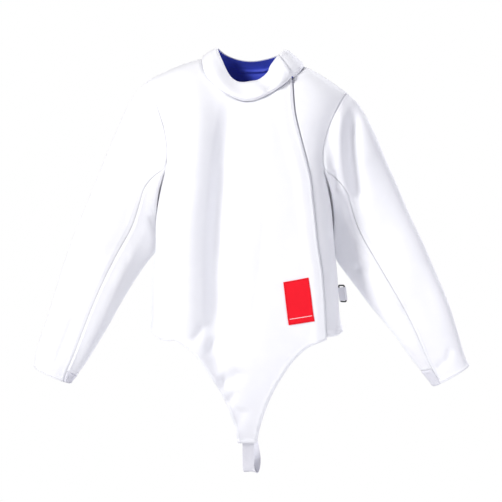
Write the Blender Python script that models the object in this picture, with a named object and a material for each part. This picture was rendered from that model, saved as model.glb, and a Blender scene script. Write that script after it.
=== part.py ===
"""A fencing jacket, filled out as if it were worn, with nobody in it.

Metres, +Z up. The front faces -Y and the wearer's left is +X. The origin is in the middle of the neck
opening, level with the shoulders that hold the jacket up. Every piece of cloth is cut from a flat outline,
laid on the surface of the body, a sleeve or the collar, and given its wall.
"""

import math

import bmesh
import bpy
import numpy as np
from mathutils import Vector
from mathutils.geometry import delaunay_2d_cdt


def table(columns, *rows):
    """A short table as one array for each named column."""
    return dict(zip(columns.split(), np.array(rows, float).T))


# Cloth and seams
WALL = 0.0022
COLLAR_WALL = 0.0026
LINING_WALL = 0.0010
LABEL_WALL = 0.0008
WEB_WALL = 0.0015
SEAM_GAP = 0.0003
LAID_GAP = 0.0010
HEM_RISE = 0.0008
HEM_STEP = 0.0015
MESH_STEP = 0.026
EDGE_STEP = 0.023
FINE_STEP = 0.011

# The body's sections. A level is a height up to the armpit line, and above it a length along the cloth.
ARMPIT = -0.220
SHOULDER_ARC = 0.160
SHOULDER_LEVEL = ARMPIT + SHOULDER_ARC * math.pi / 2
# The highest level where the cloth's direction is taken: the ridge itself has none
RIDGE_LEVEL = SHOULDER_LEVEL - 0.004
SQUARENESS = 2.3
BODY = table(
    "level half_width front back middle_x",
    (-0.860, 0.2050, 0.010, 0.104, 0.000),
    (-0.800, 0.2070, 0.046, 0.104, 0.000),
    (-0.740, 0.2080, 0.073, 0.104, 0.000),
    (-0.680, 0.2090, 0.092, 0.104, 0.000),
    (-0.600, 0.2120, 0.104, 0.104, 0.000),
    (-0.570, 0.2075, 0.105, 0.104, -0.002),
    (-0.500, 0.2035, 0.108, 0.103, -0.004),
    (-0.420, 0.1965, 0.110, 0.101, -0.004),
    (-0.335, 0.1910, 0.113, 0.103, -0.005),
    (-0.260, 0.1820, 0.114, 0.107, -0.005),
    (-0.210, 0.1790, 0.114, 0.110, -0.005),
    (-0.140, 0.1930, 0.112, 0.112, -0.003),
    (-0.060, 0.2120, 0.110, 0.112, -0.001),
    (0.0320, 0.2215, 0.108, 0.110, 0.000),
)
BACK_HEM = -0.590
LEFT_HEM = -0.588
# Half the gap of a side seam as a turn: the body is about 0.104 m deep there
SIDE_SEAM_TURN = SEAM_GAP / 2 / 0.104

# The shoulder line, seen from the front. The jacket hangs a little lower on the wearer's left.
SHOULDER = table(
    "x height",
    (-0.225, -0.046),
    (-0.190, -0.027),
    (-0.150, -0.009),
    (-0.097, 0.010),
    (0.000, 0.020),
    (0.060, 0.015),
    (0.122, -0.006),
    (0.165, -0.030),
    (0.222, -0.067),
)
# How round the cloth is over the shoulder: lower beside the neck, where it falls away at a slant
NECK_ROUND_FRONT = 1.36
NECK_ROUND_BACK = 1.62
TIP_ROUND = 1.95
ROUND_FROM = 0.070
ROUND_TO = 0.170
RIDGE_BLEND = 0.025
NECK_SEAM_BACK = 0.0042
TIP_SEAM_BACK = 0.0026

# The neck seam and the collar's rim. Turn 0 is the front and 90 the wearer's left.
NECK_X = 0.012
NECK_FRONT = table(
    "turn x height",
    (-90, -0.0970, 0.0100),
    (-74, -0.0930, -0.0130),
    (-55, -0.0780, -0.0340),
    (-39, -0.0570, -0.0530),
    (-24, -0.0340, -0.0690),
    (-5, 0.0030, -0.0790),
    (18, 0.0470, -0.0640),
    (34, 0.0730, -0.0480),
    (49, 0.0950, -0.0305),
    (70, 0.1150, -0.0160),
    (90, 0.1220, -0.0060),
)
NECK_BACK = table(
    "turn x height",
    (90, 0.1220, -0.0060),
    (112, 0.1140, -0.0130),
    (140, 0.0820, -0.0240),
    (180, 0.0120, -0.0300),
    (220, -0.0580, -0.0180),
    (248, -0.0890, -0.0010),
    (270, -0.0970, 0.0100),
)
RIM = table(
    "turn x y height",
    (-180, 0.0110, 0.0450, 0.0060),
    (-150, -0.0260, 0.0390, 0.0120),
    (-125, -0.0500, 0.0250, 0.0230),
    (-90, -0.0630, 0.0000, 0.0330),
    (-70, -0.0585, -0.0140, 0.0200),
    (-55, -0.0500, -0.0260, 0.0010),
    (-40, -0.0370, -0.0350, -0.0250),
    (-24, -0.0190, -0.0415, -0.0385),
    (-5, 0.0030, -0.0450, -0.0385),
    (20, 0.0370, -0.0420, -0.0250),
    (38, 0.0560, -0.0350, 0.0000),
    (54, 0.0710, -0.0260, 0.0200),
    (90, 0.0850, 0.0000, 0.0290),
    (125, 0.0720, 0.0250, 0.0200),
    (150, 0.0480, 0.0390, 0.0120),
    (180, 0.0110, 0.0450, 0.0060),
)
COLLAR_TAB_END = 51
COLLAR_TAB_FROM = 22
COLLAR_UNDER_END = -333
UNDER_NOTCH_FROM = -309
UNDER_NOTCH_RISE = 0.13
COLLAR_BULGE = 0.0030
TAB_LIFT = COLLAR_WALL + 0.0012
TAB_FOOT_SHARE = 0.35
TAB_OVER_FLAP = 1.25
COLLAR_STEP = 0.0085
COLLAR_CLEAR = 0.0011

# The armhole seam, round from the shoulder's tip by the front
ARMHOLE = table(
    "around turn level",
    (0, 78.0, 0.0313),
    (34, 71.5, -0.0540),
    (50, 68.5, -0.0960),
    (74, 65.0, -0.1380),
    (97, 63.0, -0.1720),
    (122, 65.0, -0.2100),
    (150, 75.0, -0.2390),
    (180, 90.0, -0.2500),
    (210, 105.0, -0.2390),
    (238, 115.0, -0.2100),
    (263, 116.0, -0.1720),
    (286, 114.0, -0.1380),
    (310, 110.5, -0.0960),
    (326, 108.0, -0.0540),
    (360, 102.0, 0.0313),
)

# The sleeves' sections, from the armhole to the cuff: the photograph's outer and inner edge, and the half depth
SLEEVES = {
    "left": table(
        "along outer_x outer_z inner_x inner_y inner_z depth",
        (0.000, 0.2235, -0.0650, 0.1800, 0.002, -0.2520, 0.0500),
        (0.025, 0.2400, -0.0800, 0.1850, 0.008, -0.2740, 0.0520),
        (0.060, 0.2560, -0.1040, 0.1880, 0.018, -0.2990, 0.0520),
        (0.110, 0.2780, -0.1480, 0.1885, 0.032, -0.3350, 0.0500),
        (0.180, 0.3090, -0.2180, 0.1885, 0.047, -0.3800, 0.0460),
        (0.240, 0.3350, -0.2770, 0.1930, 0.052, -0.4150, 0.0420),
        (0.300, 0.3600, -0.3330, 0.2060, 0.049, -0.4420, 0.0390),
        (0.360, 0.3860, -0.3890, 0.2290, 0.042, -0.4740, 0.0370),
        (0.420, 0.4100, -0.4430, 0.2630, 0.034, -0.5190, 0.0350),
        (0.480, 0.4330, -0.4970, 0.3000, 0.027, -0.5640, 0.0325),
        (0.540, 0.4530, -0.5520, 0.3350, 0.021, -0.6080, 0.0300),
        (0.600, 0.4700, -0.6040, 0.3640, 0.016, -0.6480, 0.0270),
        (0.650, 0.4820, -0.6440, 0.3890, 0.012, -0.6800, 0.0240),
        (0.690, 0.4910, -0.6665, 0.4150, 0.010, -0.7130, 0.0215),
    ),
    "right": table(
        "along outer_x outer_z inner_x inner_y inner_z depth",
        (0.000, -0.2245, -0.0430, -0.1870, 0.002, -0.2500, 0.0500),
        (0.025, -0.2410, -0.0580, -0.1920, 0.008, -0.2710, 0.0520),
        (0.060, -0.2570, -0.0820, -0.1955, 0.018, -0.2960, 0.0520),
        (0.110, -0.2770, -0.1280, -0.1975, 0.032, -0.3320, 0.0500),
        (0.180, -0.3080, -0.2030, -0.1985, 0.047, -0.3740, 0.0460),
        (0.240, -0.3340, -0.2640, -0.2030, 0.052, -0.4080, 0.0420),
        (0.300, -0.3600, -0.3250, -0.2160, 0.049, -0.4290, 0.0390),
        (0.360, -0.3840, -0.3850, -0.2390, 0.042, -0.4620, 0.0370),
        (0.420, -0.4050, -0.4430, -0.2690, 0.034, -0.5080, 0.0350),
        (0.480, -0.4240, -0.4990, -0.3000, 0.027, -0.5610, 0.0325),
        (0.540, -0.4410, -0.5540, -0.3290, 0.021, -0.6120, 0.0300),
        (0.600, -0.4570, -0.6020, -0.3560, 0.016, -0.6560, 0.0270),
        (0.650, -0.4665, -0.6380, -0.3790, 0.012, -0.6880, 0.0240),
        (0.690, -0.4700, -0.6690, -0.3935, 0.010, -0.7065, 0.0215),
    ),
}
SLEEVE_SQUARENESS = 2.1
OUTER_EDGE_Y_SHARE = 0.3
SLEEVE_SEAM_REACH = 0.030
SLEEVE_LIFT = WALL + 3 * SEAM_GAP
CAP_FADE = 0.130
CUFF_END = 0.690
INSERT_TOP = 0.648
# The seam between the outer and the inner part of a sleeve, in front. The back seam mirrors it.
SLEEVE_SEAM = table(
    "along around",
    (0.000, 128),
    (0.050, 117),
    (0.130, 106),
    (0.280, 99),
    (0.440, 101),
    (0.580, 112),
    (0.690, 126),
)

# The closure, as its edge shows from the front
CLOSURE = table(
    "height x",
    (-0.600, 0.1700),
    (-0.543, 0.1668),
    (-0.484, 0.1620),
    (-0.438, 0.1575),
    (-0.396, 0.1510),
    (-0.332, 0.1440),
    (-0.275, 0.1375),
    (-0.230, 0.1310),
    (-0.192, 0.1220),
    (-0.144, 0.1100),
    (-0.106, 0.1015),
    (-0.073, 0.0985),
    (-0.030, 0.0955),
)
FLAP_LIFT = WALL + 0.0016
FLAP_FLAT = 0.026
FLAP_FADE = 0.022
UNDERLAP = 0.020
FLAP_LINES = (0.013, 0.026, 0.037, 0.048)

# The leg cut of the tongue, both edges, down from the hem
TONGUE = table(
    "height left_x right_x",
    (-0.5930, 0.1700, -0.1560),
    (-0.6010, 0.1480, -0.1400),
    (-0.6130, 0.1270, -0.1220),
    (-0.6400, 0.0990, -0.0990),
    (-0.6740, 0.0760, -0.0775),
    (-0.7180, 0.0530, -0.0530),
    (-0.7600, 0.0380, -0.0370),
    (-0.8000, 0.0275, -0.0255),
    (-0.8350, 0.0221, -0.0211),
)
RIGHT_HEM = table(
    "x height",
    (-0.2100, -0.5850),
    (-0.1830, -0.5970),
    (-0.1560, -0.5930),
)
HEM_BAND = 0.018
CUFF_BAND = 0.011
TONGUE_BAND = 0.011

# The label's corners, seen from the front
LABEL_CORNERS = ((0.0771, -0.4650), (0.0892, -0.5584), (0.1434, -0.5501), (0.1295, -0.4551))

# The lining inside the neck
LINING_RIM = 0.90
LINING_FOOT = 0.16
BACK_LINING_NECK = (118, 242)
BACK_LINING_TURNS = (148, 206)
BACK_LINING_LEVEL = -0.100

# The crotch strap's middle line, from the tongue's end, down, and up to the back hem, and its lean round X
STRAP_WIDTH = 0.026
STRAP = table(
    "x y height",
    (0.0028, -0.0366, -0.8120),
    (0.0028, -0.0222, -0.8350),
    (0.0028, -0.0110, -0.8620),
    (0.0030, -0.0040, -0.8880),
    (0.0060, 0.0005, -0.9035),
    (0.0120, 0.0080, -0.9050),
    (0.0170, 0.0125, -0.8920),
    (0.0150, 0.0180, -0.8620),
    (0.0105, 0.0235, -0.8360),
    (0.0085, 0.0400, -0.7900),
    (0.0060, 0.0650, -0.7150),
    (0.0030, 0.0900, -0.6400),
    (0.0000, 0.1000, -0.6000),
    (0.0000, 0.1013, -0.5720),
)

# The side loop: webbing folded round a bar of its buckle, sewn on the wearer's left side
LOOP_WIDTH = 0.029
LOOP_HEIGHT = -0.5035
LOOP_OUT = 0.2165
LOOP_LEAN = math.radians(8)
LOOP_FROM_WALL = 0.0015
BAR_RADIUS = 0.0018
BUCKLE_HEIGHT = 0.040
BUCKLE_REACH = 0.017
BUCKLE_CORNER = 0.0032
BUCKLE_TURN = math.radians(132)

# The largest folds: three points of each fold's line seen from the front, its half width, and its height.
# A slope stands out on the wearer's right of its line and dips on the left.
# Front folds face -Y and back ones +Y.
FOLDS = table(
    "facing x1 z1 x2 z2 x3 z3 width height slope",
    (-1, -0.0400, -0.1050, -0.0850, -0.3300, -0.0950, -0.6100, 0.0260, 0.0060, 1),
    (-1, 0.0260, -0.2700, 0.0200, -0.4600, -0.0150, -0.6600, 0.0140, -0.0020, 0),
    (-1, 0.2300, -0.1100, 0.2380, -0.2200, 0.2420, -0.3300, 0.0130, -0.0060, 0),
    (-1, -0.2300, -0.1000, -0.2420, -0.2100, -0.2450, -0.3100, 0.0130, -0.0040, 0),
    (1, 0.0700, -0.1500, 0.0900, -0.3400, 0.0800, -0.5600, 0.0240, 0.0050, 1),
    (1, -0.1100, -0.2200, -0.0900, -0.4000, -0.1000, -0.5700, 0.0200, -0.0040, 0),
    (1, 0.2350, -0.1200, 0.2450, -0.2300, 0.2480, -0.3400, 0.0130, -0.0045, 0),
    (1, -0.2350, -0.1100, -0.2450, -0.2200, -0.2500, -0.3300, 0.0130, -0.0045, 0),
)

WHITE = (0.86, 0.87, 0.90, 1.0)
BLUE = (0.015, 0.03, 0.22, 1.0)
RED = (0.80, 0.02, 0.03, 1.0)
WEB_GREY = (0.62, 0.63, 0.68, 1.0)
BLACK = (0.02, 0.02, 0.022, 1.0)


def spline(places, values, at):
    """A natural cubic curve through a table's rows, held level beyond its ends."""
    x = np.asarray(places, float)
    y = np.asarray(values, float)
    gap = np.diff(x)
    slope = np.diff(y) / gap
    system = np.eye(len(x))
    right = np.zeros(len(x))
    for k in range(1, len(x) - 1):
        system[k, k - 1:k + 2] = gap[k - 1], 2 * (gap[k - 1] + gap[k]), gap[k]
        right[k] = 6 * (slope[k] - slope[k - 1])
    bend = np.linalg.solve(system, right)
    at = np.clip(at, x[0], x[-1])
    k = np.clip(np.searchsorted(x, at) - 1, 0, len(gap) - 1)
    before, after = x[k + 1] - at, at - x[k]
    cubic = (bend[k] * before**3 + bend[k + 1] * after**3) / (6 * gap[k])
    straight = (y[k] / gap[k] - bend[k] * gap[k] / 6) * before
    return cubic + straight + (y[k + 1] / gap[k] - bend[k + 1] * gap[k] / 6) * after


def ease(value, start, end):
    """0 before start, 1 after end, and a smooth rise between them."""
    t = np.clip((value - start) / (end - start), 0, 1)
    return t * t * (3 - 2 * t)


def ring(turn, squareness):
    """The sine and cosine of a rounded square ring."""
    across, forth = np.sin(turn), np.cos(turn)
    reach = (np.abs(across) ** squareness + np.abs(forth) ** squareness) ** (-1 / squareness)
    return across * reach, forth * reach


def normals(surface, u, v, step=0.0015):
    """Unit normals of a surface by central differences."""
    along_u = surface(u + step * 8, v) - surface(u - step * 8, v)
    along_v = surface(u, v + step) - surface(u, v - step)
    cross = np.cross(along_u, along_v)
    return cross / np.maximum(np.linalg.norm(cross, axis=-1, keepdims=True), 1e-12)


def body_x(turn, level):
    across, _ = ring(turn, SQUARENESS)
    width = spline(BODY["level"], BODY["half_width"], level)
    return spline(BODY["level"], BODY["middle_x"], level) + width * across


def shoulder_height(x):
    return spline(SHOULDER["x"], SHOULDER["height"], x)


def body(turn, level):
    """The body's middle surface. Turn runs round it from the front to the wearer's left and on."""
    level = np.minimum(level, SHOULDER_LEVEL)
    x = body_x(turn, level)
    _, forth = ring(turn, SQUARENESS)
    depth = np.where(forth > 0, *(spline(BODY["level"], BODY[side], level) for side in ("front", "back")))
    neck_round = np.where(forth > 0, NECK_ROUND_FRONT, NECK_ROUND_BACK)
    power = neck_round + (TIP_ROUND - neck_round) * ease(np.abs(x - NECK_X), ROUND_FROM, ROUND_TO)
    climb = np.clip(level - ARMPIT, 0, None) / SHOULDER_ARC
    share = np.clip(np.sin(climb), 0, 1)
    closing = np.clip(1 - share**power, 0, None) ** (1 / power)
    z = np.where(level < ARMPIT, level, ARMPIT + (shoulder_height(x) - ARMPIT) * share)
    return np.stack([x, -depth * forth * closing, z], -1)


def front_place(x, z):
    """The turn and level of a point of the front that is known from straight ahead."""
    x, z = np.broadcast_arrays(np.asarray(x, float), np.asarray(z, float))
    share = np.clip((z - ARMPIT) / (shoulder_height(x) - ARMPIT), 0, 1)
    level = np.where(z < ARMPIT, z, ARMPIT + np.arcsin(share) * SHOULDER_ARC)
    low = np.full(x.shape, -math.pi / 2)
    high = np.full(x.shape, math.pi / 2)
    for _ in range(40):
        middle = (low + high) / 2
        short = body_x(middle, level) < x
        low = np.where(short, middle, low)
        high = np.where(short, high, middle)
    return np.stack([middle, level], -1)


def back_place(x, z):
    place = front_place(x, z)
    return np.stack([math.pi - place[..., 0], place[..., 1]], -1)


def fold_heights(x, z, facing):
    """How far the folds move the cloth out, for points seen from the front or the back."""
    total = np.zeros(x.shape)
    for k in range(len(FOLDS["facing"])):
        fold = {name: FOLDS[name][k] for name in FOLDS}
        t = np.linspace(0, 1, 9)
        blend_1, blend_2, blend_3 = (1 - t) * (1 - 2 * t), 4 * t * (1 - t), t * (2 * t - 1)
        path_x = blend_1 * fold["x1"] + blend_2 * fold["x2"] + blend_3 * fold["x3"]
        path_z = blend_1 * fold["z1"] + blend_2 * fold["z2"] + blend_3 * fold["z3"]
        nearest = np.full(x.shape, 9.0)
        sideways = np.zeros(x.shape)
        place = np.zeros(x.shape)
        for s in range(len(t) - 1):
            run_x, run_z = path_x[s + 1] - path_x[s], path_z[s + 1] - path_z[s]
            length = math.hypot(run_x, run_z)
            share = ((x - path_x[s]) * run_x + (z - path_z[s]) * run_z) / length**2
            share = np.clip(share, 0, 1)
            off_x, off_z = x - path_x[s] - share * run_x, z - path_z[s] - share * run_z
            distance = np.hypot(off_x, off_z)
            closer = distance < nearest
            nearest = np.where(closer, distance, nearest)
            sideways = np.where(closer, np.sign(off_x * -run_z + off_z * run_x) * distance, sideways)
            place = np.where(closer, (s + share) / (len(t) - 1), place)
        ratio = nearest / fold["width"]
        bump = np.exp(-0.5 * ratio**2)
        if fold["slope"]:
            bump = bump * np.clip(-sideways / fold["width"], -3, 3) * 1.6
        ends = ease(place, 0, 0.3) * (1 - ease(place, 0.75, 1))
        total += fold["height"] * bump * ends * ease(facing * fold["facing"], 0.15, 0.6)
    return total


def folded(surface, sign=1):
    """The same surface with the folds raised in it."""
    def shaped(u, v):
        base = surface(u, v)
        out = normals(surface, u, v) * sign
        height = fold_heights(base[..., 0], base[..., 2], out[..., 1])
        return base + out * height[..., None]
    return shaped


def armhole_place(around):
    """The turn and level of the wearer's left armhole seam. The right one has the opposite turn."""
    degrees = np.degrees(around) % 360
    turn = spline(ARMHOLE["around"], ARMHOLE["turn"], degrees)
    return np.radians(turn), spline(ARMHOLE["around"], ARMHOLE["level"], degrees)


def sleeve(side):
    """A sleeve's middle surface. Around is 0 at its outer edge and a quarter turn at its front."""
    rows = SLEEVES[side]
    hand = 1 if side == "left" else -1

    def section(around, along):
        edges = []
        for names in (("outer_x", "inner_y", "outer_z"), ("inner_x", "inner_y", "inner_z")):
            edges.append(np.stack([spline(rows["along"], rows[name], along) for name in names], -1))
        outer, inner = edges
        outer[..., 1] *= OUTER_EDGE_Y_SHARE
        forth, across = ring(around, SLEEVE_SQUARENESS)
        half = (outer - inner) / 2
        span = half / np.linalg.norm(half, axis=-1, keepdims=True)
        depth_way = np.array([0.0, -1.0, 0.0]) + span * span[..., 1:2]
        depth_way /= np.linalg.norm(depth_way, axis=-1, keepdims=True)
        depth = spline(rows["along"], rows["depth"], along)[..., None]
        return (outer + inner) / 2 + half * across[..., None] + depth_way * depth * forth[..., None]

    def surface(around, along):
        along = np.clip(along, 0, None)
        turn, level = armhole_place(around)
        out = normals(body, turn * hand, np.minimum(level, RIDGE_LEVEL))
        seam = body(turn * hand, level) + out * SLEEVE_LIFT
        fade = (1 - ease(along, 0, CAP_FADE))[..., None]
        start = section(around, np.zeros(np.shape(along)))
        return section(around, along) + (seam - start) * fade

    return surface


def neck_point(turn):
    """A point of the neck seam on the body's middle surface, its normal, and how far the flap lifts it."""
    degrees = (np.degrees(turn) + 90) % 360 - 90
    in_front = degrees <= 90
    places = []
    for rows, place in ((NECK_FRONT, front_place), (NECK_BACK, back_place)):
        x = spline(rows["turn"], rows["x"], degrees)
        places.append(place(x, spline(rows["turn"], rows["height"], degrees)))
    chosen = np.where(in_front[..., None], *places)
    level = np.minimum(chosen[..., 1], RIDGE_LEVEL)
    on_flap = turn > 0
    lift = np.where(on_flap, flap_lift(chosen[..., 0], chosen[..., 1]) * TAB_OVER_FLAP, 0)
    base = body(chosen[..., 0], chosen[..., 1])
    out = normals(body, chosen[..., 0], level)
    out[..., 1] *= ease(np.abs(base[..., 1]), 0, RIDGE_BLEND)
    return base, out / np.linalg.norm(out, axis=-1, keepdims=True), lift


def rim_point(turn):
    degrees = (np.degrees(turn) + 180) % 360 - 180
    rows = [np.concatenate([RIM[name][:-1] - wrap, RIM[name], RIM[name][1:] + wrap])
            for name, wrap in (("turn", 360), ("x", 0), ("y", 0), ("height", 0))]
    return np.stack([spline(rows[0], row, degrees) for row in rows[1:]], -1)


def collar(turn, rise):
    """The collar's middle surface: rise is 0 at the neck seam and 1 at the rim."""
    base, out, lift = neck_point(turn)
    base = base + out * (WALL / 2 + COLLAR_WALL / 2 + COLLAR_CLEAR + lift)[..., None]
    rim = rim_point(turn)
    rise = np.asarray(rise, float)[..., None]
    bulge = COLLAR_BULGE * 4 * rise * (1 - rise)
    return base + (rim - base) * rise + out * bulge


def collar_lift(turn, rise):
    """The collar's free end lies over its other end."""
    share = TAB_FOOT_SHARE + (1 - TAB_FOOT_SHARE) * ease(rise, 0, 0.5)
    return TAB_LIFT * share * ease(np.degrees(turn), COLLAR_TAB_FROM - 16, COLLAR_TAB_FROM)


def closure_turn(level):
    """The turn of the closure's edge at a level."""
    height = CLOSURE["height"]
    places = front_place(CLOSURE["x"], height)
    return spline(places[:, 1], places[:, 0], level)


def flap_lift(turn, level):
    """The front flap lies out over the front beneath it."""
    reach = spline(BODY["level"], BODY["half_width"], level)
    distance = (closure_turn(level) - turn) * reach
    return FLAP_LIFT * (1 - ease(distance, FLAP_FLAT, FLAP_FLAT + FLAP_FADE))


def resample(points, scale, step):
    """An open line's points about one step apart, its ends kept."""
    points = np.asarray(points, float)
    length = np.concatenate([[0], np.cumsum(np.linalg.norm(np.diff(points * scale, axis=0), axis=1))])
    count = max(1, round(length[-1] / step))
    at = np.linspace(0, length[-1], count + 1)
    return np.stack([np.interp(at, length, points[:, k]) for k in range(2)], -1)


def closed_outline(scale, *edges):
    """A closed outline from edges that meet end to end, each with its own spacing."""
    lines = [np.array(line, float) for line, _ in edges]
    for k in range(len(lines)):
        lines[k][0] = lines[k - 1][-1]
    return np.concatenate([resample(line, scale, step)[:-1] for line, (_, step) in zip(lines, edges)])


def inside(points, outline):
    """Which points lie inside a closed outline."""
    hit = np.zeros(len(points), bool)
    for a, b in zip(outline, np.roll(outline, -1, axis=0)):
        crosses = (a[1] > points[:, 1]) != (b[1] > points[:, 1])
        with np.errstate(divide="ignore", invalid="ignore"):
            x = a[0] + (points[:, 1] - a[1]) * (b[0] - a[0]) / (b[1] - a[1])
        hit ^= crosses & (points[:, 0] < x)
    return hit


def clear_of(points, lines, distance):
    """Which points keep a distance from every line."""
    keep = np.ones(len(points), bool)
    for line in lines:
        for a, b in zip(line[:-1], line[1:]):
            run = b - a
            share = np.clip(((points - a) @ run) / max(run @ run, 1e-12), 0, 1)
            keep &= np.linalg.norm(points - a - share[:, None] * run, axis=1) > distance
    return keep


def material(name, colour, roughness, metallic=0.0):
    made = bpy.data.materials.get(name) or bpy.data.materials.new(name)
    made.use_nodes = True
    shader = made.node_tree.nodes["Principled BSDF"]
    shader.inputs["Base Color"].default_value = colour
    shader.inputs["Roughness"].default_value = roughness
    shader.inputs["Metallic"].default_value = metallic
    return made


def add_solid(name, points, faces, finish):
    """One closed solid as an object."""
    mesh = bpy.data.meshes.new(name)
    mesh.from_pydata([tuple(p) for p in points], [], faces)
    work = bmesh.new()
    work.from_mesh(mesh)
    bmesh.ops.triangulate(work, faces=work.faces[:])
    bmesh.ops.recalc_face_normals(work, faces=work.faces[:])
    work.to_mesh(mesh)
    work.free()
    mesh.shade_smooth()
    mesh.set_sharp_from_angle(angle=math.radians(40))
    mesh.materials.append(finish)
    made = bpy.data.objects.new(name, mesh)
    bpy.context.scene.collection.objects.link(made)
    return made


def cut_piece(name, surface, edges, wall, finish, scale, step=MESH_STEP, lift=None, bands=(), rise=None,
              sign=1):
    """A piece of cloth: its flat outline is filled with points, laid on the surface and given its wall.

    A lift moves the whole piece out, and a rise thickens its outer face. Bands are lines that the mesh follows.
    """
    scale = np.asarray(scale, float)
    outline = closed_outline(scale, *edges) * scale
    bands = [resample(band, scale, EDGE_STEP) * scale for band in bands]
    low, high = outline.min(0), outline.max(0)
    columns, rows = np.arange(low[0], high[0], step), np.arange(low[1], high[1], step * 0.87)
    grid = np.array([(x + (k % 2) * step / 2, y) for k, y in enumerate(rows) for x in columns])
    ring_line = np.concatenate([outline, outline[:1]])
    grid = grid[inside(grid, outline)]
    grid = grid[clear_of(grid, [ring_line] + bands, step * 0.5)]
    points = [Vector(p) for p in outline]
    joins = [(k, (k + 1) % len(outline)) for k in range(len(outline))]
    for band in bands:
        first = len(points)
        points += [Vector(p) for p in band]
        joins += [(first + k, first + k + 1) for k in range(len(band) - 1)]
    points += [Vector(p) for p in grid]
    flat, _, faces, *_ = delaunay_2d_cdt(points, joins, [], 1, 1e-6)
    place = np.array([tuple(p) for p in flat]) / scale
    u, v = place[:, 0], place[:, 1]
    middle = surface(u, v)
    out = normals(surface, u, v) * sign
    if lift is not None:
        middle = middle + out * lift(u, v)[:, None]
        lifted = lambda a, b: surface(a, b) + normals(surface, a, b) * (sign * lift(a, b))[..., None]
        out = normals(lifted, u, v) * sign
    outer = middle + out * wall / 2
    if rise is not None:
        outer = outer + out * rise(u, v)[:, None]
    inner = middle - out * wall / 2
    count = len(middle)
    solid = [tuple(f) for f in faces] + [tuple(count + k for k in reversed(f)) for f in faces]
    sides = {}
    for face in faces:
        for a, b in zip(face, list(face[1:]) + [face[0]]):
            sides[(a, b)] = True
    solid += [(b, a, count + a, count + b) for a, b in sides if (b, a) not in sides]
    return add_solid(name, np.concatenate([outer, inner]), solid, finish)


def sweep(name, path, width_way, width, thick, finish, count):
    """A flat strap along a smooth path of table rows, its width turned to width_way."""
    rows = np.stack([path["x"], path["y"], path["height"]], -1)
    length = np.concatenate([[0], np.cumsum(np.linalg.norm(np.diff(rows, axis=0), axis=1))])
    at = np.linspace(0, length[-1], count)
    middle = np.stack([spline(length, rows[:, k], at) for k in range(3)], -1)
    run = np.gradient(middle, axis=0)
    run /= np.linalg.norm(run, axis=1, keepdims=True)
    side = width_way - run * (run @ width_way)[:, None]
    side /= np.linalg.norm(side, axis=1, keepdims=True)
    face = np.cross(run, side)
    corners = ((-1, -1), (1, -1), (1, 1), (-1, 1))
    points = []
    for m, s, f in zip(middle, side, face):
        points += [m + s * a * width / 2 + f * b * thick / 2 for a, b in corners]
    faces = [(0, 1, 2, 3), tuple(4 * (count - 1) + k for k in (3, 2, 1, 0))]
    for k in range(count - 1):
        faces += [(4 * k + a, 4 * k + (a + 1) % 4, 4 * k + 4 + (a + 1) % 4, 4 * k + 4 + a) for a in range(4)]
    return add_solid(name, points, faces, finish)


def run(start, end, count=24):
    """Straight steps between two flat places."""
    return np.linspace(start, end, count)


def neck_line(start, end, rows, place):
    degrees = np.linspace(start, end, 40)
    x = spline(rows["turn"], rows["x"], degrees)
    places = place(x, spline(rows["turn"], rows["height"], degrees))
    places[:, 1] = np.minimum(places[:, 1], SHOULDER_LEVEL - NECK_SEAM_BACK)
    return places


def armhole_line(start, end, hand):
    """The armhole seam's flat places between two angles round it, in degrees."""
    turn, level = armhole_place(np.radians(np.linspace(start, end, 60)))
    return np.stack([turn * hand, np.minimum(level, SHOULDER_LEVEL - TIP_SEAM_BACK)], -1)


def closure_line(aside, start, end):
    """A line beside the closure's edge, aside towards the wearer's left, between two levels."""
    levels = np.linspace(start, end, 50)
    reach = spline(BODY["level"], BODY["half_width"], levels)
    return np.stack([closure_turn(levels) + aside / reach, levels], -1)


def shoulder_seam(start_turn, end_turn, start_back, end_back):
    """The shoulder seam, set back from the shoulder line far enough for the gap there."""
    return run((start_turn, SHOULDER_LEVEL - start_back), (end_turn, SHOULDER_LEVEL - end_back))


BODY_SCALE = (0.17, 1.0)
SLEEVE_SCALE = (0.055, 1.0)
COLLAR_SCALE = (0.09, 0.04)


def band_lines(line):
    """The two lines of a hem band's step, from the band's upper edge in turn and level."""
    line = np.asarray(line, float)
    return [line, line - np.array([0, HEM_STEP])]


def hem_rise(band_level):
    """The rise of a turned hem below a level."""
    return lambda u, v: HEM_RISE * (v < band_level - HEM_STEP / 2)


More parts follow.
